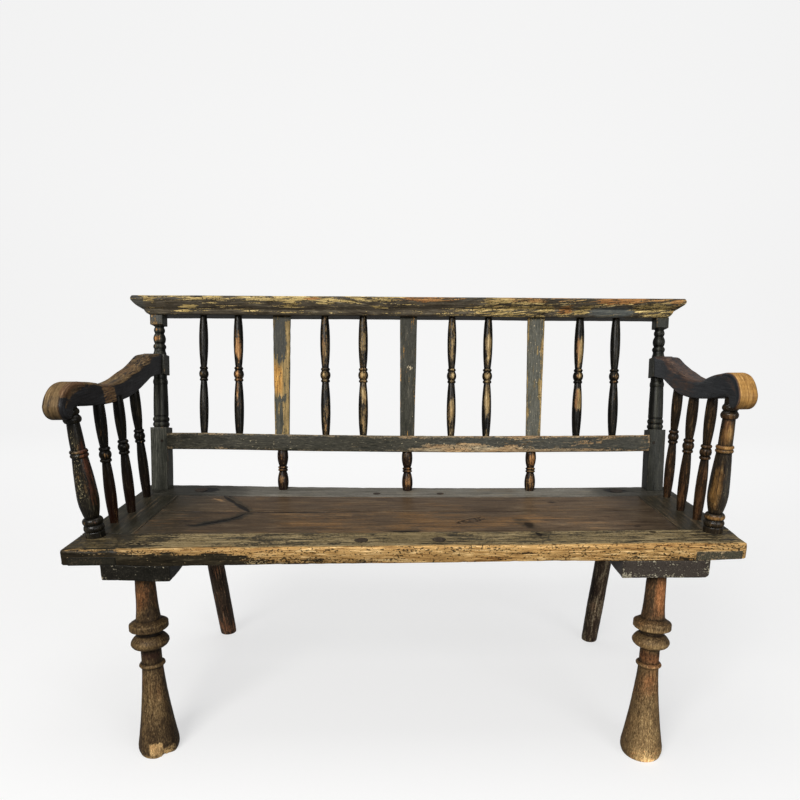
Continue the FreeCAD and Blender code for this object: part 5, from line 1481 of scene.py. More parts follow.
for side, sign in (("left", -1), ("right", 1)):
    v, f, e, part, n, run = arm(side)
    seed = 420 if side == "left" else 430
    q = v.copy()  # x across, y along, z up
    x, y, z = q.T
    # the rolled end swells a little
    roll_k = smooth(-y, 95, 170)
    slim = 0.32 if side == "left" else 0.36
    v[:, 0] *= np.where(-sign * x > 0, 1 - slim * roll_k, 1 + (0.18 if side == "left" else 0.12) * roll_k)
    v[:, 1] += roll_k * 0.08 * (y + 140)
    v[:, 2] += roll_k * 0.06 * (z - 722)
    for a, (s1, s2) in enumerate(((1, 2), (3, 4), (5, 6))):
        v[:, a] += 0.5 * value_noise(q / 42, seed + s1) + 0.16 * value_noise(q / 13, seed + s2)
    g = np.stack([q[:, 0], q[:, 2], q[:, 1]], 1)
    # round the rolled end the fibres follow the edge
    rolled = (part >= 0) & (y < -105)
    at = run[np.maximum(part, 0).astype(int)]
    g[rolled, 1] = 700.0
    g[rolled, 2] = -105.0 - (at[rolled] - at[rolled].min())
    inner = -sign * x  # plus is the side that faces the sitter
    topk = (part >= 0) & (part < n + 22)
    on_face = (part < 0) | (np.abs(x) > 21.2)
    inward = inner > 0
    n1 = fractal(q / [14, 30, 9], seed + 7)
    n2 = fractal(q / [5, 14, 4], seed + 8)
    height = z - np.interp(y, [-180, -122, -48, 12, 96, 150, 204], [716, 746, 738.6, 731, 735, 745.5, 763])
    roll_r = np.hypot(y + 158, z - 716)
    lean_y = y - (POST_FACE_Y + (z - POST_FACE_Z) * math.tan(math.radians(LEAN)))
    joint = smooth(lean_y, -6.5, -3.0)
    if side == "left":
        front_roll = topk & (y < -118) & ((inner < 13) | (z > 727))
        wear = np.where(topk, 0.50 + 0.12 * smooth(-y, -120, 60) + 0.16 * n1, 0.1)
        face_w = 0.02 + 0.06 * n1
        patch = smooth(1 - np.abs(y + 30 + 0.2 * (z - 705)) / 31, 0.05, 0.35)
        stripes = np.sin((z - 0.35 * y) * 0.85 + 2.5 * n1)
        face_w = face_w + patch * (0.66 + 0.14 * stripes)
        top_edge = smooth(height, -11 + 9 * n2, -3 + 9 * n2) * smooth(-y, -10, 30)
        face_w = face_w + 0.52 * top_edge + 0.30 * smooth(height, -9, -3) * smooth(y, 10, 80)
        face_w = face_w + 0.35 * smooth(-z, -(696 + 5 * n2), -(690 + 5 * n2)) * smooth(y, -130, -60) * smooth(-y, 0, 50)
        wear = np.where(on_face & inward, face_w, wear)
        wear = np.where(on_face & ~inward, 0.45 + 0.15 * n1, wear)
        wear = np.where(topk & (y < -150) & ~front_roll, 0.05, wear)
        wear = np.where(front_roll, 0.78 + 0.20 * n1 + 0.12 * n2, wear) + 0.05 * n2
        tone = 0.2 + 0.5 * patch + 0.4 * top_edge * (on_face & inward) + 0.1 * smooth(y, 20, 130) + 0.25 * n1
        tone = np.where(front_roll, 0.15 + 0.7 * smooth(inner, 0, 14) + 0.4 * n1, tone)
        lift = 0.15 * n1 - 0.15 * smooth(y, 40, 150) + 0.22 * patch - 0.2 * top_edge * (on_face & inward)
        lift = lift - 0.2 * (topk & ~front_roll & (y > -118))
        # the rolled end painted darker towards its underside: painted shade
        lift = lift + np.where(front_roll, 0.15 * smooth(z, 716, 738) - 0.60 * smooth(-z, -712, -694) - 0.26
                               - 0.25 * smooth(-inner, 8, 20), 0.0)
        lift = lift + (on_face & inward) * (0.20 + 0.25 * smooth(y, -20, 60) + 0.4 * smooth(lean_y, -75, -20))
        dirt = 0.9 * joint + 0.30 * front_roll * smooth(n2, 0.2, 0.5)
        fl = np.where(front_roll, 0.0, 0.22 + 0.25 * (on_face & inward & (y < -120)))
    else:
        front_roll = topk & (y < -126) & (inner < 19)
        wear = np.where(topk, 0.38 + 0.12 * bump(inner, 12, 16) + 0.08 * n1, 0.1)
        red = smooth(y + 10 * n1, -45, 10) * (1 - smooth(y, 120, 190))
        face_w = 0.02 + 0.05 * n1 + 0.34 * red * (0.9 + 0.4 * n1) + 0.30 * smooth(height, -6, -1)
        wear = np.where(on_face & inward, face_w, wear)
        wear = np.where(on_face & ~inward, 0.25 + 0.1 * n1, wear)
        wear = np.where(topk & (y < -126) & ~front_roll, 0.05, wear)
        gold = smooth(-y, 126, 136) * front_roll
        wear = wear * (1 - gold) + gold * (0.92 + 0.18 * n1 - 0.20 * smooth(-z, -704, -692)) + 0.05 * n2
        tone = np.where(front_roll, 0.0, 0.95) + 0.1 * n1
        tone = tone + front_roll * (0.8 * smooth(inner, 12, 19) + 0.5 * smooth(-z, -706, -692) * (0.6 + n1))
        lift = front_roll * (-0.05 + 0.30 * n1 + 0.12 * np.sin(z * 0.9 + 2 * n1) - 0.25 * smooth(-z, -704, -692))
        lift = lift + (on_face & inward) * (0.22 + 0.5 * smooth(lean_y, -110, -30)) + 0.2 * topk * (y > -126)
        dirt = 0.8 * joint + 0.5 * front_roll * bump(z, 700, 2.5) * (n2 > 0.0)
        dirt = dirt + 0.9 * np.exp(-((y + 182) ** 2 + (z - 706) ** 2 + (x - 2) ** 2) / 7.0)
        fl = 0.15
    px, yaw, dip = ARM_AT[side]
    xf = placed(px, SEAT_Y + POST_FACE_Y, POST_FACE_Z, roll=dip, yaw=yaw)
    local = v - [0, POST_FACE_Y, POST_FACE_Z]
    make(
        "arm_rest_" + side, xf(local), f, g, W(len(wear), wear, np.clip(dirt, 0, 1), tone, lift, fl),
        M["arm"] if side == "left" else M["arm_r"], ["arm_" + side], seed, 60,
    )  # fmt: skip

# ------------------------------------------------------------------ the seat
GAP = 0.35


def crack_field(g, lines, knots=()):
    """Signed distance (m) to the nearest crack, its width (m), and knot strength.
    lines: (x0, y0, x1, y1, width) in board places (along, across)."""
    p = np.stack([g[:, 2], g[:, 0]], 1)
    top = g[:, 1] > 0
    best = np.full(len(g), 1e3)
    sd, wd = np.zeros(len(g)), np.zeros(len(g))
    for x0, y0, x1, y1, w in lines:
        a, b = np.array([x0, y0]), np.array([x1, y1])
        d = b - a
        t = ((p - a) @ d) / (d @ d)
        tc = np.clip(t, 0, 1)
        off = p - (a + tc[:, None] * d)
        dist = np.hypot(off[:, 0], off[:, 1])
        s = np.sign(d[0] * off[:, 1] - d[1] * off[:, 0])
        taper = np.clip(1 - np.abs(2 * t - 1), -1, 1)
        width = w * np.clip(0.35 + taper, 0, 1) * (np.abs(2 * t - 1) < 1.06)
        near = dist < best
        best = np.where(near, dist, best)
        sd = np.where(near, s * dist, sd)
        wd = np.where(near, width * (dist < 9), wd)
    k = np.zeros(len(g))
    for x, y, rx, ry in knots:
        k = np.maximum(k, 1 - np.hypot((p[:, 0] - x) / rx, (p[:, 1] - y) / ry))
    return np.stack([sd * MM, wd * MM * top, np.clip(k, 0, 1) * top], 1)


def seat_board(name, node, y0, y1, x0, x1, seed, wear, lines=(), knots=(), radii=None,
               material="seat", thick=SEAT_T, end_r=1.0, carve=None, step=7.0, long_step=7.0):
    w = y1 - y0 - 2 * GAP
    board(
        name, (w, thick, x1 - x0), radii or [0.8, 0.8, 1.2, 1.2],
        along_x((y0 + y1) / 2, SEAT_H - thick / 2, x0), M[material], [node], seed,
        step=step, long_step=long_step, end_r=end_r, wear=wear, edge_wear=0.35, edge_width=2.2,
        wave=0.3, crack=lambda g: crack_field(g, lines, knots), carve=carve,
    )  # fmt: skip


Y_F1, Y_B1 = Y_FRONT + 85, Y_BACK - 83.5
Y_J = SEAT_Y + 10
X_IN = SEAT_W / 2 - 97


def top_wear(x0, base, tone0, seed, lift0=0.0, scuffs=None):
    def wear(g, e, rub):
        x = g[:, 2] + x0
        top = g[:, 1] > 0
        n = fractal(g / [7, 9, 160], seed)
        big = fractal(g / [60, 60, 220], seed + 1)
        left = smooth(-x, 380, 560)
        right = smooth(x, 430, 600)
        w = base + 0.3 * rub + 0.14 * n + 0.12 * big
        lift = lift0 + 0.14 * big - 0.30 * left - 0.28 * right + 0.12 * bump(x, 60, 300) + 0.12 * n
        gap = np.clip(0.35 + 0.8 * fractal(g / [50, 50, 90], seed + 2), 0.1, 0.9)
        table = dict(wear=w, dirt=0.10 * left + gap * np.exp(-e / 1.0) * top, tone=tone0 + 0.3 * n,
                     lift=lift, tint=0.75 * left + 0.3 * right, fleck=0.10)
        if scuffs:
            wr, lf, tn = spots(x, g[:, 0], scuffs, 0.35 * n) * top
            table.update(wear=w + wr, lift=lift + lf, tint=np.clip(table["tint"] + tn, 0, 1))
        return table

    return wear


# front rail: the top is grey-olive, the arris golden, the face black at the left
def front_wear(g, e, rub):
    x = g[:, 2] - SEAT_W / 2
    a, b = g[:, 0], g[:, 1]
    w2, h2 = 42.5 - GAP, SEAT_T / 2
    face = smooth(-a, w2 - 7, w2 - 3.5) * smooth(-b, -(h2 - 1.5), -(h2 - 4.5))
    arris = np.exp(-(np.hypot(a + w2 - 2, b - h2 + 2) / 8.0) ** 2)
    top = (1 - face) * (b > h2 - 4)
    n = fractal(np.stack([x / 34, a / 7, b / 5], 1), 501)
    n2 = fractal(np.stack([x / 12, a / 4, b / 3], 1), 502)
    big = fractal(np.stack([x / 150, a / 60, b / 60], 1), 503)
    bare = smooth(x + 22 * n, -330, -300)  # where the face paint gives out
    low = smooth(-b, -2, 12)
    gritty = smooth(-x, -20, 270) * low * bare
    upper = smooth(b + 2.5 * n2, 2, 6) * smooth(x, -560, -480) * (1 - bare)
    dark_end = smooth(x + 20 * n, 350, 440) * smooth(-b, -1, 7) * (1 - smooth(x, 560, 590))
    wear = face * (0.04 + 0.76 * bare - 0.36 * gritty - 0.26 * dark_end + 0.16 * n2 + 0.30 * upper)
    wear = wear + arris * (0.14 + 0.72 * smooth(x, -570, -510) * (1 - 0.5 * face))
    wear = wear + 0.30 * bump(x, -575, 50) * smooth(b, 2, 9) * face * (0.5 + n2)
    wear = wear + top * (0.58 + 0.10 * big + 0.12 * n - 0.25 * smooth(-x, 440, 560))
    wear = wear + 0.25 * face * smooth(x, 622, 634)
    tone = np.clip(np.where(top > 0.5, 0.0, 0.95) + arris * 0.9, 0, 1) + 0.08 * n
    lift = top * (0.16 - 0.62 * smooth(-x, 430, 600) - 0.30 * smooth(x, 480, 620) + 0.15 * n)
    lift = lift - 0.35 * arris * (1 - smooth(x, -430, -260))
    lift = lift + 0.16 * arris * smooth(x, -400, -200) - 0.10 * low * face + 0.22 * face * smooth(x, 60, 200)
    lift = lift - 0.35 * gritty * face
    tone = tone - 0.12 * face * smooth(x, 100, 250)
    lift = lift - 0.45 * top * spots(x, a, [(20, 0, 90, 22, (1,)), (-130, -22, 50, 10, (0.5,)),
                                           (260, 14, 26, 16, (1.4,)), (330, 4, 60, 18, (0.6,))], 0.6 * n2)[0]
    tint = top * 0.25 + 0.4 * face * smooth(x, 570, 600)
    dirt = 0.45 * np.exp(-e / 1.0) * (a > w2 - 2) * (b > 0)
    # a ragged dark line where the top's paint breaks off at the arris
    brk = bump(a + w2 - 9 - 3 * n, 0, 1.8) * (b > h2 - 3) * smooth(n2, -0.25, 0.1)
    dirt = np.clip(dirt + 0.7 * brk, 0, 1)
    pits = face * (0.34 + 0.75 * gritty) + 0.30 * arris + 0.12
    return dict(wear=wear, dirt=dirt, tone=tone, lift=lift, tint=tint, fleck=pits)


def front_carve(v, g, e):
    """The front arris is worn away unevenly."""
    w2, h2 = 42.5 - GAP, SEAT_T / 2
    near = np.exp(-(np.hypot(g[:, 0] + w2, g[:, 1] - h2) / 9.0) ** 2)
    n = np.clip(0.5 + fractal(g / [40, 40, 55], 511), 0, 1.3)
    v = v.copy()
    # the right corner is rubbed round
    r = 15.0
    px, py = g[:, 2] - (SEAT_W - r), -w2 + r - g[:, 0]
    out = (px > 0) & (py > 0)
    far = np.hypot(px, py)
    k = np.where(out & (far > r), r / np.maximum(far, 1e-6), 1.0)
    v[:, 2] += np.where(out, px * (k - 1), 0.0)
    v[:, 0] -= np.where(out, py * (k - 1), 0.0)
    r = 10.0
    px, py = g[:, 2] - (SEAT_W - r), g[:, 1] - (h2 - r)
    out = (px > 0) & (py > 0)
    far = np.hypot(px, py)
    k = np.where(out & (far > r), r / np.maximum(far, 1e-6), 1.0)
    soft = smooth(-g[:, 0], -30, 10)
    v[:, 2] += np.where(out, px * (k - 1), 0.0) * soft
    v[:, 1] += np.where(out, py * (k - 1), 0.0) * soft
    inside = smooth(-np.abs(g[:, 2] - SEAT_W / 2), -SEAT_W / 2 + 4, -SEAT_W / 2 + 40)
    v[:, 0] += 1.6 * near * n * inside
    v[:, 1] -= 1.8 * near * n * inside
    nick = np.clip(value_noise(g / [5, 5, 9], 512) - 0.35, 0, 1)
    v[:, 0] += 1.8 * near * nick
    return v


half = SEAT_W / 2
seat_board(
    "seat_front", "seat_front_rail", Y_FRONT, Y_F1, -half, half, 500, front_wear,
    lines=[
        (152, 14, 215, 22, 1.0), (210, -2, 330, 6, 0.8), (690, -18, 800, -12, 1.0),
        (960, 8, 1080, 2, 1.0), (1120, -12, 1200, -10, 0.9), (420, 24, 540, 27, 0.8),
        (104, -18, 122, -6, 2.2), (122, -6, 138, -20, 2.0), (138, -20, 156, -10, 1.8),
        (901, 34, 908, 16, 5.5), (560, -12, 650, -8, 1.2), (1080, -20, 1180, -16, 1.2),
        (980, 24, 1060, 27, 1.0), (620, -26, 760, -24, 1.0), (830, -4, 900, 2, 1.4),
    ],
    knots=[(1133, 29, 12, 12), (906, 20, 12, 12), (700, -6, 12, 7)],
    radii=[2.2, 1.2, 1.2, 6.0], material="seat_edge", end_r=4.5, carve=front_carve,
    step=4.0, long_step=4.5,
)  # fmt: skip
seat_board(
    "seat_plank_front", "seat_board_front", Y_F1, Y_J, -X_IN, X_IN, 520,
    top_wear(-X_IN, 0.16, 0.8, 521, 0.0, [
        (-390, 0, 130, 80, (-0.05, -0.40, 0)), (-10, 0, 290, 70, (0.36, -0.08, 0)), (340, 0, 120, 80, (0.05, 0.42, 0)),
        (-362, 40, 22, 24, (-0.1, -0.55, 0.6), 1.2), (-405, -2, 48, 17, (-0.1, -0.75, 0.8), 0.55),
        (244, -18, 22, 34, (-0.1, -0.55, 0.6), -1.2), (132, 10, 34, 18, (0.0, 0.12, 0.0), 0.4),
        (-5, -60, 34, 9, (0.0, -0.6, 0.3)), (-250, -20, 120, 14, (0.1, 0.12, 0)),
        (400, -30, 110, 22, (0.1, 0.14, 0)),
    ]),
    lines=[
        (198, 60, 376, 64, 3.4), (376, 64, 470, 65, 1.2), (598, 65, 798, 65, 2.4),
        (192, 52, 172, 16, 5.0), (172, 16, 112, -22, 8.5), (112, -22, 84, -18, 3.5),
        (650, -8, 672, 8, 2.4), (672, 8, 706, 27, 2.4), (658, -14, 690, -6, 2.2), (690, -6, 712, 14, 2.2),
        (560, -30, 640, -34, 1.0), (900, -30, 1060, -36, 1.2), (250, -40, 420, -46, 0.9),
        (518, -65, 572, -66, 5.0), (830, 20, 960, 16, 0.9),
    ],
    knots=[(652, -12, 9, 7), (798, -30, 16, 26), (1018, -44, 12, 8)],
)  # fmt: skip
seat_board(
    "seat_plank_rear", "seat_board_rear", Y_J, Y_B1, -X_IN, X_IN, 530,
    top_wear(-X_IN, 0.14, 0.5, 531, -0.05, [
        (-446, 28, 17, 5, (0.30, 0.9, -0.6), -0.5), (-432, 16, 12, 4, (0.25, 0.8, -0.5), -0.5),
        (-390, 0, 50, 16, (-0.05, -0.35, 0.5), -1.35),
        (365, 5, 140, 60, (0.0, 0.46, 0.0)),
    ]),
    lines=[
        (112, 48, 150, 0, 5.5), (150, 0, 196, -58, 7.5), (92, 57, 166, 57, 3.4), (166, 57, 300, 57, 1.2),
        (420, -12, 560, -8, 0.8), (700, 30, 980, 22, 1.0), (300, -36, 420, -30, 0.8), (860, 56, 1000, 57, 1.5),
    ],
    knots=[(880, 12, 16, 8)],
)  # fmt: skip
seat_board(
    "seat_back", "seat_back_rail", Y_B1, Y_BACK, -half, half, 540,
    top_wear(-half, 0.12, 0.15, 541, -0.02, [
        (-530, 0, 140, 90, (0, -0.85, 0.2)), (560, 0, 110, 90, (0, -0.6, 0.2)), (0, 0, 440, 90, (0, 0.22, 0)),
        (370, 0, 110, 60, (0, 0.35, 0)), (-489, 3, 23, 16, (-0.3, -3.6, 0)), (520, 10, 60, 16, (0, -0.3, 0.3)),
        (509, 8, 24, 15, (-0.3, -3.4, 0)),
    ]),
    lines=[
        (1128, 22, 1160, 4, 7.0), (1150, 0, 1180, 14, 5.0), (1165, 4, 1212, -12, 2.4),
        (132, 6, 176, 10, 7.0), (140, -6, 168, 0, 4.5), (200, 6, 420, 10, 1.0), (520, -22, 760, -18, 1.0),
    ],
    knots=[(152, 2, 30, 26), (1150, 8, 28, 26)],
    material="seat_back", end_r=2.0,
)  # fmt: skip

# end rails between the long rails, and their tenons through the front and back
for side, sign in (("left", -1), ("right", 1)):
    x_mid = sign * (half - 97 / 2)
    seed = 550 if side == "left" else 560

    def wear(g, e, rub, sign=sign, seed=seed):
        n = fractal(g / [7, 9, 120], seed)
        top = g[:, 1] > 0
        return W(len(e), 0.06 + 0.3 * rub + 0.14 * n + 0.06 * (sign > 0),
                 0.08 * (sign < 0) + 0.4 * np.exp(-e / 1.0) * top, 0.2 + 0.2 * n,
                 (-0.32 if sign < 0 else -0.34) + 0.1 * n, 0.12, 1.0 if sign < 0 else 0.9)

    sec, nor, near = rounded(97 - 2 * GAP, SEAT_T, [1.2, 1.2, 1.5, 1.5], 7.0)
    v1, f1, e1 = prism(sec, nor, near, Y_B1 - Y_F1 - 2 * GAP, 7.0, 1.0)
    v1 = v1 + [0, 0, Y_F1 + GAP]
    # tenon: 85 wide, 16.5 thick, flush underneath, a whisker proud of the faces
    t_mid = sign * (97 / 2 - 85 / 2 - 0.0) * (-1 if sign > 0 else -1)
    sec, nor, near = rounded(84.4, 16.2, [1.6] * 4, 5.0)
    v2, f2, e2 = prism(sec, nor, near, SEAT_D + 1.0, 12.0, 1.0)
    v2 = v2 + [-6.0 if sign > 0 else 6.0, -(SEAT_T - 16.5) / 2, Y_FRONT - 0.5]
    g1, g2 = v1.copy(), v2.copy()
    v1 = v1 + 0.25 * value_noise(g1 / [30, 30, 80], seed + 1)[:, None] * [0, 1, 0]
    w1 = wear(g1, e1, 0.35 * np.exp(-e1 / 2.2))
    tip = np.exp(-e2 / 1.3)
    n = fractal(g2 / [8, 8, 8], seed + 5)
    w2_ = W(len(e2), 0.10 + 0.15 * n + 0.25 * np.exp(-e2 / 1.8), (0.75 if sign < 0 else 0.3) * tip, 0.2,
            -0.75 if sign < 0 else 0.95, 0.3, 1.0)
    P, Fc, Gc, Wm = join([(v1, f1, g1, w1), (v2, f2, g2, w2_)])
    make(
        "seat_end_" + side, along_y(x_mid, SEAT_H - SEAT_T / 2, 0)(P), Fc, Gc, Wm, M["seat"],
        ["seat_end_rail_" + side], seed,
    )  # fmt: skip

# battens
for side, x0, w, t in (("left", -580.0, 130.0, 31.0), ("right", 410.0, 167.0, 35.0)):
    seed = 570 if side == "left" else 580

    def wear(g, e, rub, side=side, seed=seed):
        n = fractal(g / [9, 6, 30], seed)
        right = side == "right"
        ends = np.exp(-np.minimum(np.abs(g[:, 2]), np.abs(SEAT_D - 1 - g[:, 2])) / 3.0)
        w_ = 0.45 * rub * (0.6 + n) + (0.03 if not right else 0.08) + 0.10 * n
        fleck = (0.42 if right else 0.36) + 0.15 * n
        if right:
            near = spots(g[:, 0], g[:, 1], [
                (-68, -10, 14, 9, (0.35,)), (-62, 2, 12, 5, (0.2,)), (-20, -14, 60, 4, (0.25,)),
                (70, 0, 14, 12, (0.15,)), (10, 10, 20, 3, (0.2,)),
            ], 0.5 * n)[0]  # fmt: skip
            w_ = w_ + 0.75 * near * ends
            fleck = fleck + 0.5 * near * ends
        return dict(wear=w_, tone=0.2, tint=1.0 * right, fleck=fleck, lift=0.1 if right else -0.10)

    board(
        "batten_board_" + side, (w, t, SEAT_D - 1.0),
        [2.5, 2.5, 1, 1] if side == "left" else [2.5, 7.0, 1, 1],
        along_y(x0 + w / 2, Z_LOW - t / 2, Y_FRONT + 0.6), M["batten"], ["batten_" + side],
        seed, step=4.5, long_step=7, wear=wear, edge_wear=0.55, end_r=1.5,
    )  # fmt: skip

# plugs in the seat's top
parts = []
for i, (x, y, r) in enumerate(((-90, -170, 17), (61, -170, 17), (-79, 156, 10), (75, 156, 10))):
    rows = [(-12, r - 0.6), (-1.2, r - 0.6), (0.1, r - 1.0), (0.5, r - 2.2), (0.55, 0.3)]
    rows = [(z, a * (0.84 if r > 12 else 1.0)) for z, a in rows]
    v, f, g, w, d = lathe(rows, 40, 1.6, 600 + i, 0.8)
    wide = r * (0.84 if r > 12 else 1.0)
    rim = smooth(np.hypot(g[:, 0], g[:, 1]), wide - 3.0, wide - 1)
    rim = rim * (0.6 + 0.5 * value_noise(g / [9, 9, 9], 605 + i))
    parts.append((v + [x, SEAT_Y + y, SEAT_H], f, g[:, [0, 2, 1]] + [60 * i, 0, 0],
                  W(len(rim), 0.15, 0.02 + 0.8 * np.clip(rim, 0, 1), 0.4, 0.6)))  # fmt: skip
v, f, g, wm = join(parts)
make("seat_plug_set", v, f, g, wm, M["peg"], ["seat_plugs"], 600)


def peg(r, length, chamfer=0.6):
    return [(0, r - chamfer), (chamfer, r), (length - chamfer, r), (length, r - chamfer), (length, 0.2)]


def pegs(name, node, items, seed):
    """items: (radius, length, transform) for each peg, built along its own axis."""
    parts = []
    for i, (r, length, xf) in enumerate(items):
        v, f, g, w, d = lathe(peg(r, length), 20, 4.0, seed + i, 0.6)
        parts.append((xf(v), f, g + [50 * i, 0, 0],
                      W(len(w), 0.1, 0.2, 0.5)))  # fmt: skip
    v, f, g, wm = join(parts)
    make(name, v, f, g, wm, M["peg"], [node], seed)


def post_axis(side, s):
    x, splay = POST_AT[side]
    return x + s * CL * math.sin(math.radians(splay))


def back_peg(x, v, s, **kw):
    return placed(x, BACK_Y + v * CL + s * SL, SEAT_H - v * SL + s * CL, **kw)


both = (("left", -1), ("right", 1))
pegs("crest_peg_pair", "crest_pegs", [
    (3.5, POST_D / 2 + 15, back_peg(post_axis(sd, CREST_0), POST_D / 2 + 3.4, CREST_0 + 12, roll=90 - LEAN))
    for sd, sg in both
], 610)  # fmt: skip
pegs("mid_rail_peg_pair", "mid_rail_pegs", [
    (3.5, 27.5, back_peg(post_axis(sd, 115) - sg * 8, FRONT_V + 27, 114.5, roll=90 - LEAN))
    for sd, sg in both
], 620)  # fmt: skip
pegs("arm_peg_pair", "arm_tenon_pegs", [
    (3.5, 27.4, back_peg(post_axis(sd, 302) - sg * 18.4 + (0 if sg > 0 else -27.4) + 0.2 * sg,
                         FRONT_V + 10, 302.5, pitch=90))
    for sd, sg in both
], 630)  # fmt: skip
fp = []
for sg in (-1, 1):
    for dx, y in ((20, Y_FRONT + 30), (58, Y_FRONT + 26), (20, Y_BACK - 60), (36, Y_BACK - 26)):
        fp.append((4.5, SEAT_T - 6, placed(sg * (X_IN + dx), y, Z_LOW - 0.4)))
pegs("seat_frame_peg_set", "seat_frame_pegs", fp, 640)
bp = []
for xc, t in ((-515.0, 31.0), (493.5, 35.0)):
    for dx, y in ((42, -184), (-46, -70), (42, 55), (-46, 105)):
        bp.append((4.5, t + 22, placed(xc + dx, SEAT_Y + y, Z_LOW - t - 0.4)))
pegs("batten_peg_set", "batten_pegs", bp, 650)

# wedges in the rear legs' tenons, a hair proud of the seat
parts = []
for i, name in enumerate(("rear_leg_left", "rear_leg_right")):
    fx, fy, splay, rake = FEET[name]
    xt = fx + SEAT_H * math.tan(math.radians(splay))
    yt = SEAT_Y + fy - SEAT_H * math.tan(math.radians(rake)) / math.cos(math.radians(splay))
    sec, nor, near = rounded(25.0, 2.6, [0.4] * 4, 3.0, 2)
    v, f, e = prism(sec, nor, near, 14.0, 4.0, 0.3, lambda L: (1.0, 0.4 + 0.6 * L / 14.0))
    v = v + [xt, yt, SEAT_H - 13.3]
    parts.append((v, f, v.copy(), W(len(e), 0.2, 0.3, 0.5)))
v, f, g, wm = join(parts)
make("leg_wedge_pair", v, f, g, wm, M["peg"], ["rear_leg_wedges"], 660)

# the loose tongue inside the seat
sec, nor, near = rounded(16.0, 7.0, [0.5] * 4, 5.0, 2)
v, f, e = prism(sec, nor, near, 2 * X_IN - 6, 30.0, 0.5)
g = v.copy()
make(
    "seat_tongue_strip", along_x(Y_J, Z_LOW + 15.5, -(X_IN - 3))(v), f, g,
    W(len(e)), M["raw"], ["seat_board_tongue"], 670,
)  # fmt: skip


# --------------------------------------------------------- floor and backdrop
def stage():
    pts, faces = [], []
    xs = np.linspace(-9, 9, 3)
    path = [(-7.0, 0.0)] + [(-4.0 + 0.2 * k, 0.0) for k in range(36)] + [(3.2, 0.0)]
    for k in range(1, 25):
        a = 0.5 * math.pi * k / 24
        path.append((3.2 + 2.2 * math.sin(a), 2.2 * (1 - math.cos(a))))
    path.append((5.4, 9.0))
    for y, z in path:
        for x in xs:
            pts.append((x, y, z))
    for i in range(len(path) - 1):
        for j in range(2):
            a = i * 3 + j
            faces.append((a, a + 1, a + 4, a + 3))
    mesh = bpy.data.meshes.new("studio_floor")
    mesh.from_pydata(pts, [], faces)
    mesh.shade_smooth()
    glow = mesh.attributes.new("glow", "FLOAT", "POINT")
    ys = np.array([p[1] for p in pts])
    zs = np.array([p[2] for p in pts])
    level = 0.585 + 0.175 * smooth(ys, -0.2, 2.6) + 0.02 * smooth(zs, 0.5, 3.0)
    glow.data.foreach_set("value", level.astype(np.float32))
    obj = bpy.data.objects.new("studio_floor", mesh)
    bpy.context.scene.collection.objects.link(obj)
    mat = bpy.data.materials.new("studio_white")
    mat.use_nodes = True
    t = mat.node_tree
    t.nodes.clear()
    d = t.nodes.new("ShaderNodeBsdfDiffuse")
    d.inputs["Color"].default_value = (0.40, 0.40, 0.40, 1)
    e = t.nodes.new("ShaderNodeEmission")
    e.inputs["Color"].default_value = (1, 1, 1, 1)
    v = t.nodes.new("ShaderNodeAttribute")
    v.attribute_name = "glow"
    t.links.new(v.outputs["Fac"], e.inputs["Strength"])
    a = t.nodes.new("ShaderNodeAddShader")
    o = t.nodes.new("ShaderNodeOutputMaterial")
    t.links.new(d.outputs[0], a.inputs[0])
    t.links.new(e.outputs[0], a.inputs[1])
    t.links.new(a.outputs[0], o.inputs[0])
    mesh.materials.append(mat)
    obj.visible_diffuse = False
    obj.visible_glossy = False


def room():
    pts, faces, n = [], [], 96
    path = [(6.0, -0.02), (8.0, -0.02), (10.0, -0.02), (12.0, -0.02)]
    for k in range(1, 13):
        a = 0.5 * math.pi * k / 12
        path.append((12.0 + 4.0 * math.sin(a), 4.0 * (1 - math.cos(a)) - 0.02))
    path += [(16.0, 9.0), (16.0, 18.0)]
    for r, z in path:
        for j in range(n):
            t = 2 * math.pi * j / n
            pts.append((r * math.cos(t), r * math.sin(t), z))
    for i in range(len(path) - 1):
        for j in range(n):
            a, b = i * n + j, i * n + (j + 1) % n
            faces.append((a, b, b + n, a + n))
    mesh = bpy.data.meshes.new("studio_room")
    mesh.from_pydata(pts, [], faces)
    mesh.shade_smooth()
    glow = mesh.attributes.new("glow", "FLOAT", "POINT")
    zs = np.array([p[2] for p in pts])
    glow.data.foreach_set("value", (0.84 + 0.04 * smooth(zs, 0.0, 6.0)).astype(np.float32))
    obj = bpy.data.objects.new("studio_room", mesh)
    bpy.context.scene.collection.objects.link(obj)
    mat = bpy.data.materials.new("studio_pale")
    mat.use_nodes = True
    t = mat.node_tree
    t.nodes.clear()
    e = t.nodes.new("ShaderNodeEmission")
    e.inputs["Color"].default_value = (1, 1, 1, 1)
    v = t.nodes.new("ShaderNodeAttribute")
    v.attribute_name = "glow"
    o = t.nodes.new("ShaderNodeOutputMaterial")
    t.links.new(v.outputs["Fac"], e.inputs["Strength"])
    t.links.new(e.outputs[0], o.inputs[0])
    mat.cycles.emission_sampling = "NONE"
    mesh.materials.append(mat)
    obj.visible_diffuse = False
    obj.visible_glossy = False
    obj.visible_transmission = False
    obj.visible_shadow = False


stage()
room()


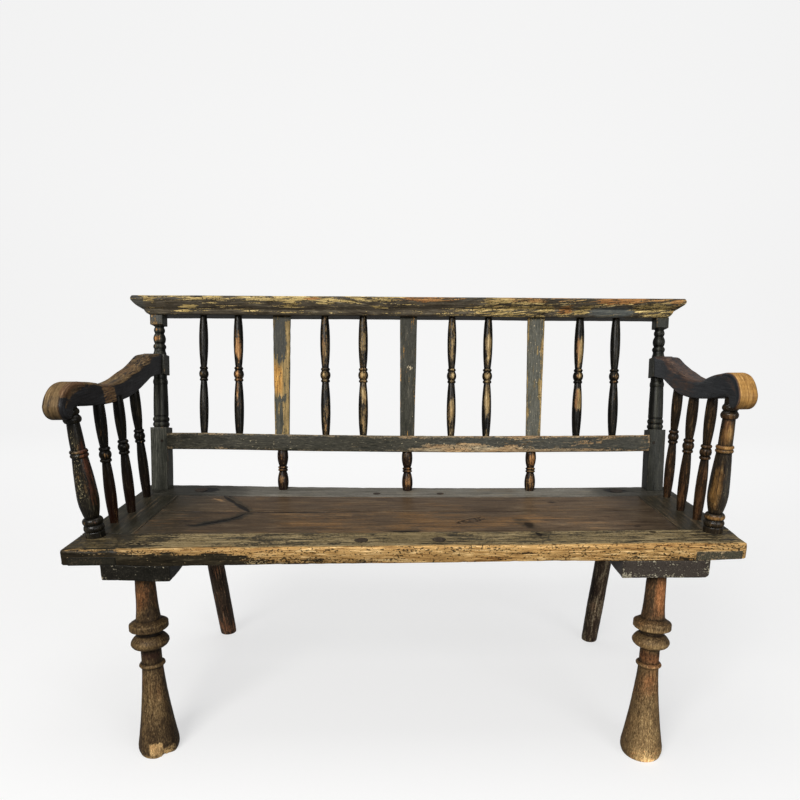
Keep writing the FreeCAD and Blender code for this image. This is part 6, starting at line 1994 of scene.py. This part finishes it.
def soft_light(name, place, target, size, power, color=(1, 1, 1)):
    data = bpy.data.lights.new(name, "AREA")
    data.shape = "RECTANGLE"
    data.size, data.size_y = size
    data.energy = power
    data.color = color
    obj = bpy.data.objects.new(name, data)
    bpy.context.scene.collection.objects.link(obj)
    p, q = np.array(place, float), np.array(target, float)
    z = p - q
    z /= np.linalg.norm(z)
    x = np.cross([0, 0, 1.0], z)
    x /= np.linalg.norm(x)
    y = np.cross(z, x)
    m = np.eye(4)
    m[:3, 0], m[:3, 1], m[:3, 2], m[:3, 3] = x, y, z, p
    obj.matrix_world = Matrix(m.tolist())
    return obj


soft_light("key", (-1.3, -2.8, 2.6), (0, 0, 0.5), (1.8, 1.5), 96, (1.0, 0.985, 0.96))
soft_light("fill", (2.0, -2.6, 1.6), (0, 0, 0.5), (1.6, 1.6), 30, (0.97, 0.985, 1.0))
soft_light("top", (0.0, 0.2, 3.4), (0, 0, 0.4), (2.6, 1.8), 34)

world = bpy.data.worlds.new("studio")
bpy.context.scene.world = world
world.use_nodes = True
bg = world.node_tree.nodes.get("Background") or world.node_tree.nodes.new("ShaderNodeBackground")
bg.inputs["Color"].default_value = (1, 1, 1, 1)
bg.inputs["Strength"].default_value = 0.2

# ------------------------------------------------------------------- camera
yaw, pitch, roll = 0.0124, 0.2559, 0.0068
fwd = np.array([math.sin(yaw) * math.cos(pitch), math.cos(yaw) * math.cos(pitch), -math.sin(pitch)])
r0 = np.array([math.cos(yaw), -math.sin(yaw), 0.0])
u0 = np.cross(r0, fwd)
rt = math.cos(roll) * r0 + math.sin(roll) * u0
upv = -math.sin(roll) * r0 + math.cos(roll) * u0
cam_data = bpy.data.cameras.new("camera")
cam = bpy.data.objects.new("camera", cam_data)
bpy.context.scene.collection.objects.link(cam)
m = np.eye(4)
m[:3, 0], m[:3, 1], m[:3, 2] = rt, upv, -fwd
m[:3, 3] = (0.0138, -1.3355 + SEAT_Y * MM, 0.8747)
cam.matrix_world = Matrix(m.tolist())
cam_data.sensor_fit = "HORIZONTAL"
cam_data.sensor_width = 36.0
cam_data.lens = 638.28 / 800.0 * 36.0
cam_data.shift_x = (400.0 - 422.66) / 800.0
cam_data.shift_y = (474.91 - 400.0) / 800.0
cam_data.clip_start, cam_data.clip_end = 0.05, 60
bpy.context.scene.camera = cam

view = bpy.context.scene.view_settings
view.view_transform = "Standard"
view.look = "None"
view.exposure = 0.0
view.gamma = 1.0
